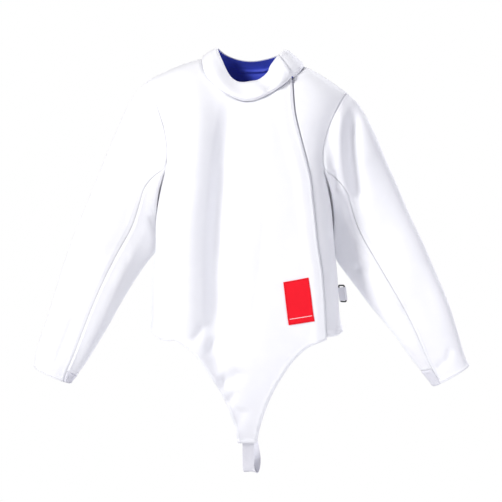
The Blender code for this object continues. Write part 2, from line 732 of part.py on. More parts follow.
def front_main(cloth):
    """The wearer's right front, its flap over the closure, and the tongue, in one piece."""
    seam = math.radians(-90) + SIDE_SEAM_TURN
    heights = np.linspace(TONGUE["height"][0], TONGUE["height"][-1], 40)
    right_leg = front_place(spline(-TONGUE["height"], TONGUE["right_x"], -heights), heights)
    left_leg = front_place(spline(-TONGUE["height"], TONGUE["left_x"], -heights), heights)[::-1]
    xs = np.linspace(RIGHT_HEM["x"][0], RIGHT_HEM["x"][-1], 12)
    hem = front_place(xs, spline(RIGHT_HEM["x"], RIGHT_HEM["height"], xs))
    hem[0] = (seam, RIGHT_HEM["height"][0])
    neck_top = front_place(CLOSURE["x"][-1], CLOSURE["height"][-1])
    closure = closure_line(0, left_leg[-1][1], neck_top[1])
    neck = neck_line(49, -90, NECK_FRONT, front_place)
    armhole = armhole_line(0, 180, -1)
    armhole[-1][0] = seam
    band = TONGUE["height"][-1] + TONGUE_BAND
    band_ends = [front_place(spline(-TONGUE["height"], TONGUE[edge], -band) * 0.97, band)
                 for edge in ("right_x", "left_x")]
    flap_lines = [closure_line(-aside, left_leg[-1][1] + 0.012, neck_top[1] - 0.02) for aside in FLAP_LINES]
    edges = ((hem, FINE_STEP), (right_leg, EDGE_STEP), (run(right_leg[-1], left_leg[0], 6), FINE_STEP),
             (left_leg, EDGE_STEP), (closure, EDGE_STEP), (neck, FINE_STEP),
             (shoulder_seam(neck[-1][0], armhole[0][0], NECK_SEAM_BACK, TIP_SEAM_BACK), EDGE_STEP),
             (armhole, FINE_STEP), (run(armhole[-1], hem[0]), EDGE_STEP))
    return cut_piece("front_main", folded(body), edges, WALL, cloth, BODY_SCALE, lift=flap_lift,
                     bands=band_lines(run(*band_ends, 4)) + flap_lines, rise=hem_rise(band))


def front_left(cloth):
    """The wearer's left front, from under the closure to the side seam."""
    seam = math.radians(90) - SIDE_SEAM_TURN
    top = front_place(CLOSURE["x"][-1], CLOSURE["height"][-1])
    underlap = closure_line(-UNDERLAP, top[1] - 0.004, LEFT_HEM)
    hem = run(underlap[-1], (seam, LEFT_HEM), 20)
    armhole = armhole_line(180, 0, 1)
    armhole[0][0] = seam
    neck = neck_line(90, 41, NECK_FRONT, front_place)
    shoulder = shoulder_seam(armhole[-1][0], neck[0][0], TIP_SEAM_BACK, NECK_SEAM_BACK)
    edges = ((hem, FINE_STEP), (run(hem[-1], armhole[0]), EDGE_STEP), (armhole, FINE_STEP),
             (shoulder, EDGE_STEP), (neck, FINE_STEP), (underlap, EDGE_STEP))
    band = LEFT_HEM + HEM_BAND
    bands = band_lines([(closure_turn(band) + 0.04, band), (seam - 0.01, band)])
    bands += [closure_line(aside, LEFT_HEM + 0.012, top[1] - 0.02) for aside in (-UNDERLAP / 2, 0)]
    return cut_piece("front_left", folded(body), edges, WALL, cloth, BODY_SCALE, bands=bands,
                     rise=hem_rise(band))


def back(cloth):
    """The back, from side seam to side seam."""
    seams = math.radians(90) + SIDE_SEAM_TURN, math.radians(270) - SIDE_SEAM_TURN
    hem = run((seams[1], BACK_HEM), (seams[0], BACK_HEM), 40)
    left_hole = armhole_line(180, 359.99, 1)
    left_hole[0][0] = seams[0]
    right_hole = armhole_line(359.99, 180, -1)
    right_hole[:, 0] += 2 * math.pi
    right_hole[-1][0] = seams[1]
    neck = neck_line(90, 270, NECK_BACK, back_place)
    edges = ((hem, FINE_STEP), (run(hem[-1], left_hole[0]), EDGE_STEP), (left_hole, FINE_STEP),
             (shoulder_seam(left_hole[-1][0], neck[0][0], TIP_SEAM_BACK, NECK_SEAM_BACK), EDGE_STEP),
             (neck, FINE_STEP),
             (shoulder_seam(neck[-1][0], right_hole[0][0], NECK_SEAM_BACK, TIP_SEAM_BACK), EDGE_STEP),
             (right_hole, FINE_STEP),
             (run(right_hole[-1], hem[0]), EDGE_STEP))
    band = BACK_HEM + HEM_BAND
    return cut_piece("back", folded(body), edges, WALL, cloth, BODY_SCALE,
                     bands=band_lines([(seams[0] + 0.01, band), (seams[1] - 0.01, band)]), rise=hem_rise(band))


def back_neck_lining(lining):
    """The lining inside the back, down from the neck seam."""
    neck = neck_line(*BACK_LINING_NECK, NECK_BACK, back_place)
    neck[:, 1] -= NECK_SEAM_BACK
    low_left, low_right = [(math.radians(turn), BACK_LINING_LEVEL) for turn in BACK_LINING_TURNS]
    edges = ((run(low_right, low_left), EDGE_STEP), (run(low_left, neck[0]), FINE_STEP), (neck, FINE_STEP),
             (run(neck[-1], low_right), FINE_STEP))
    depth = (WALL + LINING_WALL) / 2 + LAID_GAP
    return cut_piece("back_neck_lining", folded(body), edges, LINING_WALL, lining, BODY_SCALE, step=0.02,
                     lift=lambda u, v: np.full(u.shape, -depth))


def label(finish):
    """The cloth label, laid on the front beside the closure."""
    corners = [front_place(*corner) for corner in LABEL_CORNERS]
    edges = [(run(a, b, 4), 0.018) for a, b in zip(corners, corners[1:] + corners[:1])]
    height = (WALL + LABEL_WALL) / 2 + LAID_GAP
    return cut_piece("label", folded(body), edges, LABEL_WALL, finish, BODY_SCALE, step=0.018,
                     lift=lambda u, v: flap_lift(u, v) + height)


def seam_around(along):
    return np.radians(spline(SLEEVE_SEAM["along"], SLEEVE_SEAM["around"], along))


def seam_lines(start, end, clear):
    """Both seams of a sleeve between two places along it, moved clear into the inner part."""
    along = np.linspace(start, end, 60)
    around = seam_around(along) + clear
    return np.stack([around, along], -1), np.stack([2 * math.pi - around, along], -1)


def sleeve_pieces(side, cloth, stretch):
    """A sleeve's outer part, its inner part and the stretch insert at the wrist."""
    hand = 1 if side == "left" else -1
    surface = sleeve(side)
    shaped = folded(surface, hand)
    gap = SEAM_GAP / 2 / SLEEVE_SEAM_REACH
    band = CUFF_END - CUFF_BAND
    cuff_rise = lambda u, v: HEM_RISE * (v > band + HEM_STEP / 2)
    front, behind = seam_lines(0, CUFF_END, -gap)
    behind = behind - (2 * math.pi, 0)
    bands = []
    for at in (band, band + HEM_STEP):
        reach = seam_around(at) - 3 * gap
        bands.append([(-reach, at), (reach, at)])
    edges = ((run(behind[0], front[0], 60), FINE_STEP), (front, EDGE_STEP),
             (run(front[-1], behind[-1]), FINE_STEP), (behind[::-1], EDGE_STEP))
    cut_piece(f"sleeve_upper_{side}", shaped, edges, WALL, cloth, SLEEVE_SCALE, bands=bands, rise=cuff_rise,
              sign=hand)
    front, behind = seam_lines(0, INSERT_TOP - SEAM_GAP / 2, gap)
    edges = ((run(front[0], behind[0], 40), FINE_STEP), (behind, EDGE_STEP),
             (run(behind[-1], front[-1]), FINE_STEP), (front[::-1], EDGE_STEP))
    cut_piece(f"sleeve_under_{side}", shaped, edges, WALL, cloth, SLEEVE_SCALE, sign=hand)
    front, behind = seam_lines(INSERT_TOP + SEAM_GAP / 2, CUFF_END, gap)
    edges = [(line, FINE_STEP) for line in (run(front[0], behind[0]), behind, run(behind[-1], front[-1]),
                                            front[::-1])]
    cut_piece(f"cuff_elastic_{side}", surface, edges, WALL, stretch, SLEEVE_SCALE, step=FINE_STEP, sign=hand)


def collar_pieces(cloth, lining):
    """The stand collar in one strip, and the lining inside it."""
    def strip(*corners):
        places = [(math.radians(turn), rise) for turn, rise in corners]
        return [(run(a, b, 80), COLLAR_STEP) for a, b in zip(places, places[1:] + places[:1])]

    band = strip((COLLAR_TAB_END, 0), (UNDER_NOTCH_FROM, 0), (UNDER_NOTCH_FROM, UNDER_NOTCH_RISE),
                 (COLLAR_UNDER_END, UNDER_NOTCH_RISE), (COLLAR_UNDER_END, 1), (COLLAR_TAB_END, 1))
    cut_piece("collar_band", collar, band, COLLAR_WALL, cloth, COLLAR_SCALE, step=COLLAR_STEP,
              lift=collar_lift)
    depth = (COLLAR_WALL + LINING_WALL) / 2 + LAID_GAP
    start, end = COLLAR_TAB_END - 363, COLLAR_TAB_END - 720
    inner = strip((start, LINING_FOOT), (end, LINING_FOOT), (end, LINING_RIM), (start, LINING_RIM))
    cut_piece("collar_lining", collar, inner, LINING_WALL, lining, COLLAR_SCALE, step=COLLAR_STEP,
              lift=lambda u, v: np.full(u.shape, -depth))


def lean(points):
    """The side loop's points turned round Y by its lean."""
    origin = np.array([LOOP_OUT, 0, LOOP_HEIGHT])
    c, s = math.cos(LOOP_LEAN), math.sin(LOOP_LEAN)
    rel = np.asarray(points, float) - origin
    return origin + np.stack([rel[:, 0] * c - rel[:, 2] * s, rel[:, 1], rel[:, 0] * s + rel[:, 2] * c], -1)


def side_strap(webbing):
    """Webbing folded round the buckle's bar, its two ends sewn together at the wearer's left side."""
    wall = body(np.array(math.pi / 2), np.array(LOOP_HEIGHT))[0] + WALL / 2 + LOOP_FROM_WALL
    fold = BAR_RADIUS + SEAM_GAP + WEB_WALL / 2
    close = (WEB_WALL + SEAM_GAP) / 2
    bend = np.radians(np.linspace(-125, 125, 11))
    middle = [(wall, -close), (LOOP_OUT - 2.4 * fold, -close)]
    middle += [(LOOP_OUT + fold * math.cos(a), fold * math.sin(a)) for a in bend]
    middle = np.array(middle + [(LOOP_OUT - 2.4 * fold, close), (wall, close)])
    way = np.gradient(middle, axis=0)
    out = np.stack([way[:, 1], -way[:, 0]], -1) / np.linalg.norm(way, axis=1, keepdims=True)
    count = len(middle)
    points = []
    for end in (-LOOP_WIDTH / 2, LOOP_WIDTH / 2):
        for face in (-WEB_WALL / 2, WEB_WALL / 2):
            points += [(x, y, LOOP_HEIGHT + end) for x, y in middle + out * face]
    faces = [(0, count, 3 * count, 2 * count), tuple(k * count + count - 1 for k in (0, 1, 3, 2))]
    for k in range(count - 1):
        for a, b in ((0, 1), (1, 3), (3, 2), (2, 0)):
            faces.append((a * count + k, a * count + k + 1, b * count + k + 1, b * count + k))
    add_solid("side_strap", lean(points), faces, webbing)


def side_buckle(plastic, sides=6):
    """The buckle's ring, one bar in the webbing's fold and the other turned back towards the body."""
    away = np.array([math.cos(BUCKLE_TURN), math.sin(BUCKLE_TURN), 0])
    up = np.array([0, 0, 1.0])
    centre = np.array([LOOP_OUT, 0, LOOP_HEIGHT]) + away * BUCKLE_REACH / 2
    half_reach, half_height = BUCKLE_REACH / 2 - BUCKLE_CORNER, BUCKLE_HEIGHT / 2 - BAR_RADIUS - BUCKLE_CORNER
    points = []
    for quarter, (right, high) in enumerate(((1, 1), (-1, 1), (-1, -1), (1, -1))):
        for turn in np.radians(np.linspace(0, 90, 4)) + quarter * math.pi / 2:
            out = away * math.cos(turn) + up * math.sin(turn)
            bar = centre + away * half_reach * right + up * half_height * high + out * BUCKLE_CORNER
            for around in np.radians(np.arange(0, 360, 360 / sides)):
                aside = np.cross(away, up) * math.sin(around)
                points.append(bar + BAR_RADIUS * (out * math.cos(around) + aside))
    count = len(points) // sides
    faces = []
    for k in range(count):
        for a in range(sides):
            b, ahead = (a + 1) % sides, (k + 1) % count
            faces.append((k * sides + a, k * sides + b, ahead * sides + b, ahead * sides + a))
    add_solid("side_buckle", lean(points), faces, plastic)


def build():
    for old in list(bpy.data.objects):
        bpy.data.objects.remove(old)
    cloth = material("white jacket cloth", WHITE, 0.75)
    stretch = material("white stretch cloth", WHITE, 0.8)
    lining = material("blue lining", BLUE, 0.55)
    webbing = material("webbing", WEB_GREY, 0.8)
    front_main(cloth)
    front_left(cloth)
    back(cloth)
    for side in SLEEVES:
        sleeve_pieces(side, cloth, stretch)
    collar_pieces(cloth, lining)
    back_neck_lining(lining)
    label(material("red label cloth", RED, 0.6))
    sweep("crotch_strap", STRAP, np.array([1.0, 0, 0]), STRAP_WIDTH, WEB_WALL, webbing, 44)
    side_strap(webbing)
    side_buckle(material("black plastic", BLACK, 0.4))


build()
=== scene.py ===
"""The looks of a fencing jacket, filled out with nobody in it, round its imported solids.

The front faces -Y and the wearer's left is +X. Every piece of cloth is cut from a flat outline, laid on the surface
that its solid follows, and given folds, seam allowances, hems and a wall.
"""

import math

import bmesh
import bpy
import numpy as np
from mathutils import Matrix, Vector
from mathutils.geometry import delaunay_2d_cdt


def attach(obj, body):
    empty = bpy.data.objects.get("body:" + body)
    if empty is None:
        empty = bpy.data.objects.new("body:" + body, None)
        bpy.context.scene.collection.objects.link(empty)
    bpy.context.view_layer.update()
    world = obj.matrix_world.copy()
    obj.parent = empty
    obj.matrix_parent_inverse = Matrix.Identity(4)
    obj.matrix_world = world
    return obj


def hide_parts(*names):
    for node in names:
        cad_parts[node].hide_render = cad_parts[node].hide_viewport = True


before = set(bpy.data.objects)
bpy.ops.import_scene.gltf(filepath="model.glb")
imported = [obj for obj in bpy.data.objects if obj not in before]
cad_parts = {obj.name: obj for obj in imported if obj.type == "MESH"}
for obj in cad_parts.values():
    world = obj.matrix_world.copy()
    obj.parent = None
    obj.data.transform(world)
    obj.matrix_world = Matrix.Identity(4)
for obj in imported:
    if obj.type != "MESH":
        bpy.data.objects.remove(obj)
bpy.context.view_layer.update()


def table(columns, *rows):
    """A short table as one array for each named column."""
    return dict(zip(columns.split(), np.array(rows, float).T))


# Cloth and seams
WALL = 0.0022
COLLAR_WALL = 0.0026
LINING_WALL = 0.0010
LABEL_WALL = 0.0008
WEB_WALL = 0.0015
SEAM_GAP = 0.0003
LAID_GAP = 0.0010
HEM_RISE = 0.0008
HEM_STEP = 0.0015
MESH_STEP = 0.026
EDGE_STEP = 0.023
FINE_STEP = 0.011

# The body's sections. A level is a height up to the armpit line, and above it a length along the cloth.
ARMPIT = -0.220
SHOULDER_ARC = 0.160
SHOULDER_LEVEL = ARMPIT + SHOULDER_ARC * math.pi / 2
# The highest level where the cloth's direction is taken: the ridge itself has none
RIDGE_LEVEL = SHOULDER_LEVEL - 0.004
SQUARENESS = 2.3
BODY = table(
    "level half_width front back middle_x",
    (-0.860, 0.2050, 0.010, 0.104, 0.000),
    (-0.800, 0.2070, 0.046, 0.104, 0.000),
    (-0.740, 0.2080, 0.073, 0.104, 0.000),
    (-0.680, 0.2090, 0.092, 0.104, 0.000),
    (-0.600, 0.2120, 0.104, 0.104, 0.000),
    (-0.570, 0.2075, 0.105, 0.104, -0.002),
    (-0.500, 0.2035, 0.108, 0.103, -0.004),
    (-0.420, 0.1965, 0.110, 0.101, -0.004),
    (-0.335, 0.1910, 0.113, 0.103, -0.005),
    (-0.260, 0.1820, 0.114, 0.107, -0.005),
    (-0.210, 0.1790, 0.114, 0.110, -0.005),
    (-0.140, 0.1930, 0.112, 0.112, -0.003),
    (-0.060, 0.2120, 0.110, 0.112, -0.001),
    (0.0320, 0.2215, 0.108, 0.110, 0.000),
)
BACK_HEM = -0.590
LEFT_HEM = -0.588
# Half the gap of a side seam as a turn: the body is about 0.104 m deep there
SIDE_SEAM_TURN = SEAM_GAP / 2 / 0.104

# The shoulder line, seen from the front. The jacket hangs a little lower on the wearer's left.
SHOULDER = table(
    "x height",
    (-0.225, -0.046),
    (-0.190, -0.027),
    (-0.150, -0.009),
    (-0.097, 0.010),
    (0.000, 0.020),
    (0.060, 0.015),
    (0.122, -0.006),
    (0.165, -0.030),
    (0.222, -0.067),
)
# How round the cloth is over the shoulder: lower beside the neck, where it falls away at a slant
NECK_ROUND_FRONT = 1.36
NECK_ROUND_BACK = 1.62
TIP_ROUND = 1.95
ROUND_FROM = 0.070
ROUND_TO = 0.170
RIDGE_BLEND = 0.025
NECK_SEAM_BACK = 0.0042
TIP_SEAM_BACK = 0.0026

# The neck seam and the collar's rim. Turn 0 is the front and 90 the wearer's left.
NECK_X = 0.012
NECK_FRONT = table(
    "turn x height",
    (-90, -0.0970, 0.0100),
    (-74, -0.0930, -0.0130),
    (-55, -0.0780, -0.0340),
    (-39, -0.0570, -0.0530),
    (-24, -0.0340, -0.0690),
    (-5, 0.0030, -0.0790),
    (18, 0.0470, -0.0640),
    (34, 0.0730, -0.0480),
    (49, 0.0950, -0.0305),
    (70, 0.1150, -0.0160),
    (90, 0.1220, -0.0060),
)
NECK_BACK = table(
    "turn x height",
    (90, 0.1220, -0.0060),
    (112, 0.1140, -0.0130),
    (140, 0.0820, -0.0240),
    (180, 0.0120, -0.0300),
    (220, -0.0580, -0.0180),
    (248, -0.0890, -0.0010),
    (270, -0.0970, 0.0100),
)
RIM = table(
    "turn x y height",
    (-180, 0.0110, 0.0450, 0.0060),
    (-150, -0.0260, 0.0390, 0.0120),
    (-125, -0.0500, 0.0250, 0.0230),
    (-90, -0.0630, 0.0000, 0.0330),
    (-70, -0.0585, -0.0140, 0.0200),
    (-55, -0.0500, -0.0260, 0.0010),
    (-40, -0.0370, -0.0350, -0.0250),
    (-24, -0.0190, -0.0415, -0.0385),
    (-5, 0.0030, -0.0450, -0.0385),
    (20, 0.0370, -0.0420, -0.0250),
    (38, 0.0560, -0.0350, 0.0000),
    (54, 0.0710, -0.0260, 0.0200),
    (90, 0.0850, 0.0000, 0.0290),
    (125, 0.0720, 0.0250, 0.0200),
    (150, 0.0480, 0.0390, 0.0120),
    (180, 0.0110, 0.0450, 0.0060),
)
COLLAR_TAB_END = 51
COLLAR_TAB_FROM = 22
COLLAR_UNDER_END = -333
UNDER_NOTCH_FROM = -309
UNDER_NOTCH_RISE = 0.13
COLLAR_BULGE = 0.0030
COLLAR_ROLL = 0.0100
TAB_LIFT = COLLAR_WALL + 0.0012
TAB_FOOT_SHARE = 0.35
TAB_OVER_FLAP = 1.25
COLLAR_STEP = 0.0085
COLLAR_CLEAR = 0.0011

# The armhole seam, round from the shoulder's tip by the front
ARMHOLE = table(
    "around turn level",
    (0, 78.0, 0.0313),
    (34, 71.5, -0.0540),
    (50, 68.5, -0.0960),
    (74, 65.0, -0.1380),
    (97, 63.0, -0.1720),
    (122, 65.0, -0.2100),
    (150, 75.0, -0.2390),
    (180, 90.0, -0.2500),
    (210, 105.0, -0.2390),
    (238, 115.0, -0.2100),
    (263, 116.0, -0.1720),
    (286, 114.0, -0.1380),
    (310, 110.5, -0.0960),
    (326, 108.0, -0.0540),
    (360, 102.0, 0.0313),
)

# The sleeves' sections, from the armhole to the cuff: the photograph's outer and inner edge, and the half depth
SLEEVES = {
    "left": table(
        "along outer_x outer_z inner_x inner_y inner_z depth",
        (0.000, 0.2235, -0.0650, 0.1800, 0.002, -0.2520, 0.0500),
        (0.025, 0.2400, -0.0800, 0.1850, 0.008, -0.2740, 0.0520),
        (0.060, 0.2560, -0.1040, 0.1880, 0.018, -0.2990, 0.0520),
        (0.110, 0.2780, -0.1480, 0.1885, 0.032, -0.3350, 0.0500),
        (0.180, 0.3090, -0.2180, 0.1885, 0.047, -0.3800, 0.0460),
        (0.240, 0.3350, -0.2770, 0.1930, 0.052, -0.4150, 0.0420),
        (0.300, 0.3600, -0.3330, 0.2060, 0.049, -0.4420, 0.0390),
        (0.360, 0.3860, -0.3890, 0.2290, 0.042, -0.4740, 0.0370),
        (0.420, 0.4100, -0.4430, 0.2630, 0.034, -0.5190, 0.0350),
        (0.480, 0.4330, -0.4970, 0.3000, 0.027, -0.5640, 0.0325),
        (0.540, 0.4530, -0.5520, 0.3350, 0.021, -0.6080, 0.0300),
        (0.600, 0.4700, -0.6040, 0.3640, 0.016, -0.6480, 0.0270),
        (0.650, 0.4820, -0.6440, 0.3890, 0.012, -0.6800, 0.0240),
        (0.690, 0.4910, -0.6665, 0.4150, 0.010, -0.7130, 0.0215),
    ),
    "right": table(
        "along outer_x outer_z inner_x inner_y inner_z depth",
        (0.000, -0.2245, -0.0430, -0.1870, 0.002, -0.2500, 0.0500),
        (0.025, -0.2410, -0.0580, -0.1920, 0.008, -0.2710, 0.0520),
        (0.060, -0.2570, -0.0820, -0.1955, 0.018, -0.2960, 0.0520),
        (0.110, -0.2770, -0.1280, -0.1975, 0.032, -0.3320, 0.0500),
        (0.180, -0.3080, -0.2030, -0.1985, 0.047, -0.3740, 0.0460),
        (0.240, -0.3340, -0.2640, -0.2030, 0.052, -0.4080, 0.0420),
        (0.300, -0.3600, -0.3250, -0.2160, 0.049, -0.4290, 0.0390),
        (0.360, -0.3840, -0.3850, -0.2390, 0.042, -0.4620, 0.0370),
        (0.420, -0.4050, -0.4430, -0.2690, 0.034, -0.5080, 0.0350),
        (0.480, -0.4240, -0.4990, -0.3000, 0.027, -0.5610, 0.0325),
        (0.540, -0.4410, -0.5540, -0.3290, 0.021, -0.6120, 0.0300),
        (0.600, -0.4570, -0.6020, -0.3560, 0.016, -0.6560, 0.0270),
        (0.650, -0.4665, -0.6380, -0.3790, 0.012, -0.6880, 0.0240),
        (0.690, -0.4700, -0.6690, -0.3935, 0.010, -0.7065, 0.0215),
    ),
}
SLEEVE_SQUARENESS = 2.1
OUTER_EDGE_Y_SHARE = 0.3
SLEEVE_SEAM_REACH = 0.030
SLEEVE_LIFT = {"left": -0.0006, "right": 0.0}
CAP_FADE = 0.130
CUFF_END = 0.690
INSERT_TOP = 0.648
# The seam between the outer and the inner part of a sleeve, in front. The back seam mirrors it.
SLEEVE_SEAM = table(
    "along around",
    (0.000, 128),
    (0.050, 117),
    (0.130, 106),
    (0.280, 99),
    (0.440, 101),
    (0.580, 112),
    (0.690, 126),
)

# The closure, as its edge shows from the front
CLOSURE = table(
    "height x",
    (-0.600, 0.1700),
    (-0.543, 0.1668),
    (-0.484, 0.1620),
    (-0.438, 0.1575),
    (-0.396, 0.1510),
    (-0.332, 0.1440),
    (-0.275, 0.1375),
    (-0.230, 0.1310),
    (-0.192, 0.1220),
    (-0.144, 0.1100),
    (-0.106, 0.1015),
    (-0.073, 0.0985),
    (-0.030, 0.0955),
)
FLAP_LIFT = WALL + 0.0016
FLAP_FLAT = 0.026
UNDER_FLAP = 0.0056
FLAP_FADE = 0.022
UNDERLAP = 0.020
FLAP_LINES = (0.013, 0.026, 0.037, 0.048)

# The leg cut of the tongue, both edges, down from the hem
TONGUE = table(
    "height left_x right_x",
    (-0.5930, 0.1700, -0.1560),
    (-0.6010, 0.1480, -0.1400),
    (-0.6130, 0.1270, -0.1220),
    (-0.6400, 0.0990, -0.0990),
    (-0.6740, 0.0760, -0.0775),
    (-0.7180, 0.0530, -0.0530),
    (-0.7600, 0.0380, -0.0370),
    (-0.8000, 0.0275, -0.0255),
    (-0.8350, 0.0221, -0.0211),
)
RIGHT_HEM = table(
    "x height",
    (-0.2100, -0.5850),
    (-0.1830, -0.5970),
    (-0.1560, -0.5930),
)
HEM_BAND = 0.018
CUFF_BAND = 0.011
TONGUE_BAND = 0.011

# The label's corners, seen from the front
LABEL_CORNERS = ((0.0771, -0.4650), (0.0892, -0.5584), (0.1434, -0.5501), (0.1295, -0.4551))

# The lining inside the neck
LINING_RIM = 0.975
LINING_FOOT = 0.16
LINING_BACK_FOOT = -0.20
LINING_BACK_DEPTH = 0.0024
FOOT_OVER = (0.02, 0.07)
BACK_LINING_NECK = (118, 242)
BACK_LINING_TURNS = (148, 206)
BACK_LINING_LEVEL = -0.100

# The crotch strap's middle line, from the tongue's end, down, and up to the back hem, and its lean round X
STRAP_WIDTH = 0.026
STRAP = table(
    "x y height",
    (0.0028, -0.0366, -0.8120),
    (0.0028, -0.0222, -0.8350),
    (0.0028, -0.0110, -0.8620),
    (0.0030, -0.0040, -0.8880),
    (0.0060, 0.0005, -0.9035),
    (0.0120, 0.0080, -0.9050),
    (0.0170, 0.0125, -0.8920),
    (0.0150, 0.0180, -0.8620),
    (0.0105, 0.0235, -0.8360),
    (0.0085, 0.0400, -0.7900),
    (0.0060, 0.0650, -0.7150),
    (0.0030, 0.0900, -0.6400),
    (0.0000, 0.1000, -0.6000),
    (0.0000, 0.1013, -0.5720),
)

# The side loop: webbing folded round a bar of its buckle, sewn on the wearer's left side
LOOP_WIDTH = 0.029
LOOP_HEIGHT = -0.5035
LOOP_OUT = 0.2165
LOOP_LEAN = math.radians(8)
LOOP_FROM_WALL = 0.0015
BAR_RADIUS = 0.0018
BUCKLE_HEIGHT = 0.040
BUCKLE_REACH = 0.017
BUCKLE_CORNER = 0.0032
BUCKLE_TURN = math.radians(132)

# The folds: three points of each fold's line seen from the front, its half width on the wearer's right and on the
# wearer's left of that line, and its height. A slope stands out on the wearer's right and dips on the left.
# Front folds face -Y and back ones +Y.
FOLDS = table(
    "facing x1 z1 x2 z2 x3 z3 right left height slope",
    (-1, -0.0470, -0.0200, -0.0870, -0.3300, -0.0900, -0.6900, 0.0520, 0.0340, 0.0300, 1),
    (-1, 0.1600, -0.1300, 0.1780, -0.3800, 0.1920, -0.6900, 0.0480, 0.0110, 0.0250, 0),
    (-1, 0.2020, -0.3400, 0.3080, -0.5300, 0.3980, -0.6900, 0.0090, 0.0260, 0.0090, 0),
    (-1, -0.2120, -0.3300, -0.3120, -0.5450, -0.3760, -0.6900, 0.0260, 0.0090, 0.0090, 0),
    (-1, 0.0260, -0.2700, 0.0200, -0.4600, -0.0150, -0.6600, 0.0150, 0.0120, -0.0042, 0),
    (-1, 0.2290, -0.0740, 0.2115, -0.1850, 0.2420, -0.3350, 0.0140, 0.0150, 0.0135, 1),
    (-1, -0.2300, -0.1000, -0.2420, -0.2100, -0.2450, -0.3100, 0.0130, 0.0130, -0.0040, 0),
    (-1, 0.0330, -0.2400, 0.0310, -0.4200, -0.0080, -0.6300, 0.0040, 0.0110, -0.0018, 0),
    (-1, -0.0950, -0.5800, -0.0720, -0.6700, -0.0380, -0.7900, 0.0220, 0.0190, 0.0095, 1),
    (-1, -0.1200, -0.5960, -0.1040, -0.5760, -0.0930, -0.5480, 0.0070, 0.0080, -0.0056, 0),
    (-1, -0.0900, -0.6320, -0.0790, -0.6080, -0.0680, -0.5860, 0.0060, 0.0060, -0.0044, 0),
    (-1, -0.0700, -0.6800, -0.0360, -0.6820, -0.0060, -0.6480, 0.0130, 0.0110, -0.0085, 0),
    (-1, -0.0480, -0.7380, -0.0340, -0.7250, -0.0200, -0.7000, 0.0070, 0.0060, -0.0034, 0),
    (-1, -0.0340, -0.8080, -0.0180, -0.7750, -0.0050, -0.7400, 0.0120, 0.0090, -0.0046, 0),
    (-1, 0.1780, -0.2330, 0.1860, -0.2520, 0.1960, -0.2780, 0.0060, 0.0070, -0.0050, 0),
    (-1, 0.2020, -0.2700, 0.2200, -0.3300, 0.2460, -0.3900, 0.0090, 0.0120, 0.0034, 1),
    (-1, 0.2360, -0.4460, 0.2540, -0.4460, 0.2700, -0.4380, 0.0080, 0.0080, -0.0046, 0),
    (-1, 0.2900, -0.3300, 0.3100, -0.4100, 0.3300, -0.4700, 0.0160, 0.0130, -0.0028, 0),
    (-1, 0.3380, -0.5240, 0.3560, -0.5500, 0.3700, -0.5820, 0.0100, 0.0090, -0.0028, 0),
    (-1, 0.4500, -0.6180, 0.4440, -0.6380, 0.4400, -0.6580, 0.0050, 0.0070, -0.0034, 0),
    (-1, 0.4360, -0.6480, 0.4280, -0.6600, 0.4200, -0.6740, 0.0050, 0.0050, -0.0032, 0),
    (-1, 0.3650, -0.4300, 0.3950, -0.5100, 0.4180, -0.5900, 0.0140, 0.0120, -0.0026, 0),
    (-1, -0.1740, -0.2050, -0.1900, -0.2240, -0.2060, -0.2440, 0.0050, 0.0050, -0.0034, 0),
    (-1, -0.2080, -0.3260, -0.2070, -0.3500, -0.1960, -0.3680, 0.0060, 0.0070, -0.0060, 0),
    (-1, -0.2700, -0.3600, -0.2900, -0.4300, -0.3150, -0.4900, 0.0130, 0.0110, -0.0028, 0),
    (-1, -0.3720, -0.5300, -0.4000, -0.5980, -0.4280, -0.6700, 0.0040, 0.0060, -0.0024, 0),
    (1, 0.0700, -0.1000, 0.0900, -0.3400, 0.0800, -0.6400, 0.0240, 0.0240, 0.0068, 1),
    (1, -0.1100, -0.1800, -0.0900, -0.4000, -0.1000, -0.6300, 0.0200, 0.0200, -0.0056, 0),
    (1, 0.2350, -0.1200, 0.2450, -0.2300, 0.2480, -0.3400, 0.0130, 0.0130, -0.0060, 0),
    (1, -0.2350, -0.1100, -0.2450, -0.2200, -0.2500, -0.3300, 0.0130, 0.0130, -0.0060, 0),
    (1, 0.1560, -0.0900, 0.1350, -0.1900, 0.1560, -0.3000, 0.0110, 0.0160, -0.0052, 0),
    (1, -0.1560, -0.0900, -0.1360, -0.2000, -0.1600, -0.3100, 0.0150, 0.0110, -0.0052, 0),
    (1, 0.0100, -0.2600, -0.0100, -0.4100, 0.0150, -0.6300, 0.0120, 0.0180, -0.0036, 0),
    (1, 0.1350, -0.3700, 0.1450, -0.4700, 0.1300, -0.6000, 0.0120, 0.0100, -0.0040, 0),
    (1, -0.0300, -0.0900, -0.0400, -0.1500, -0.0200, -0.2300, 0.0160, 0.0120, -0.0030, 0),
    (1, 0.3200, -0.4000, 0.3550, -0.4700, 0.3750, -0.5400, 0.0120, 0.0100, -0.0044, 0),
    (1, -0.3100, -0.3900, -0.3450, -0.4600, -0.3700, -0.5300, 0.0120, 0.0100, -0.0044, 0),
    (1, 0.2500, -0.3600, 0.2750, -0.3900, 0.3000, -0.4050, 0.0090, 0.0070, -0.0046, 0),
    (1, -0.2450, -0.3500, -0.2700, -0.3850, -0.2950, -0.4000, 0.0090, 0.0070, -0.0046, 0),
    (1, 0.4300, -0.5800, 0.4180, -0.6100, 0.4050, -0.6300, 0.0070, 0.0060, -0.0032, 0),
    (1, -0.4200, -0.5700, -0.4080, -0.6000, -0.3900, -0.6200, 0.0070, 0.0060, -0.0032, 0),
)
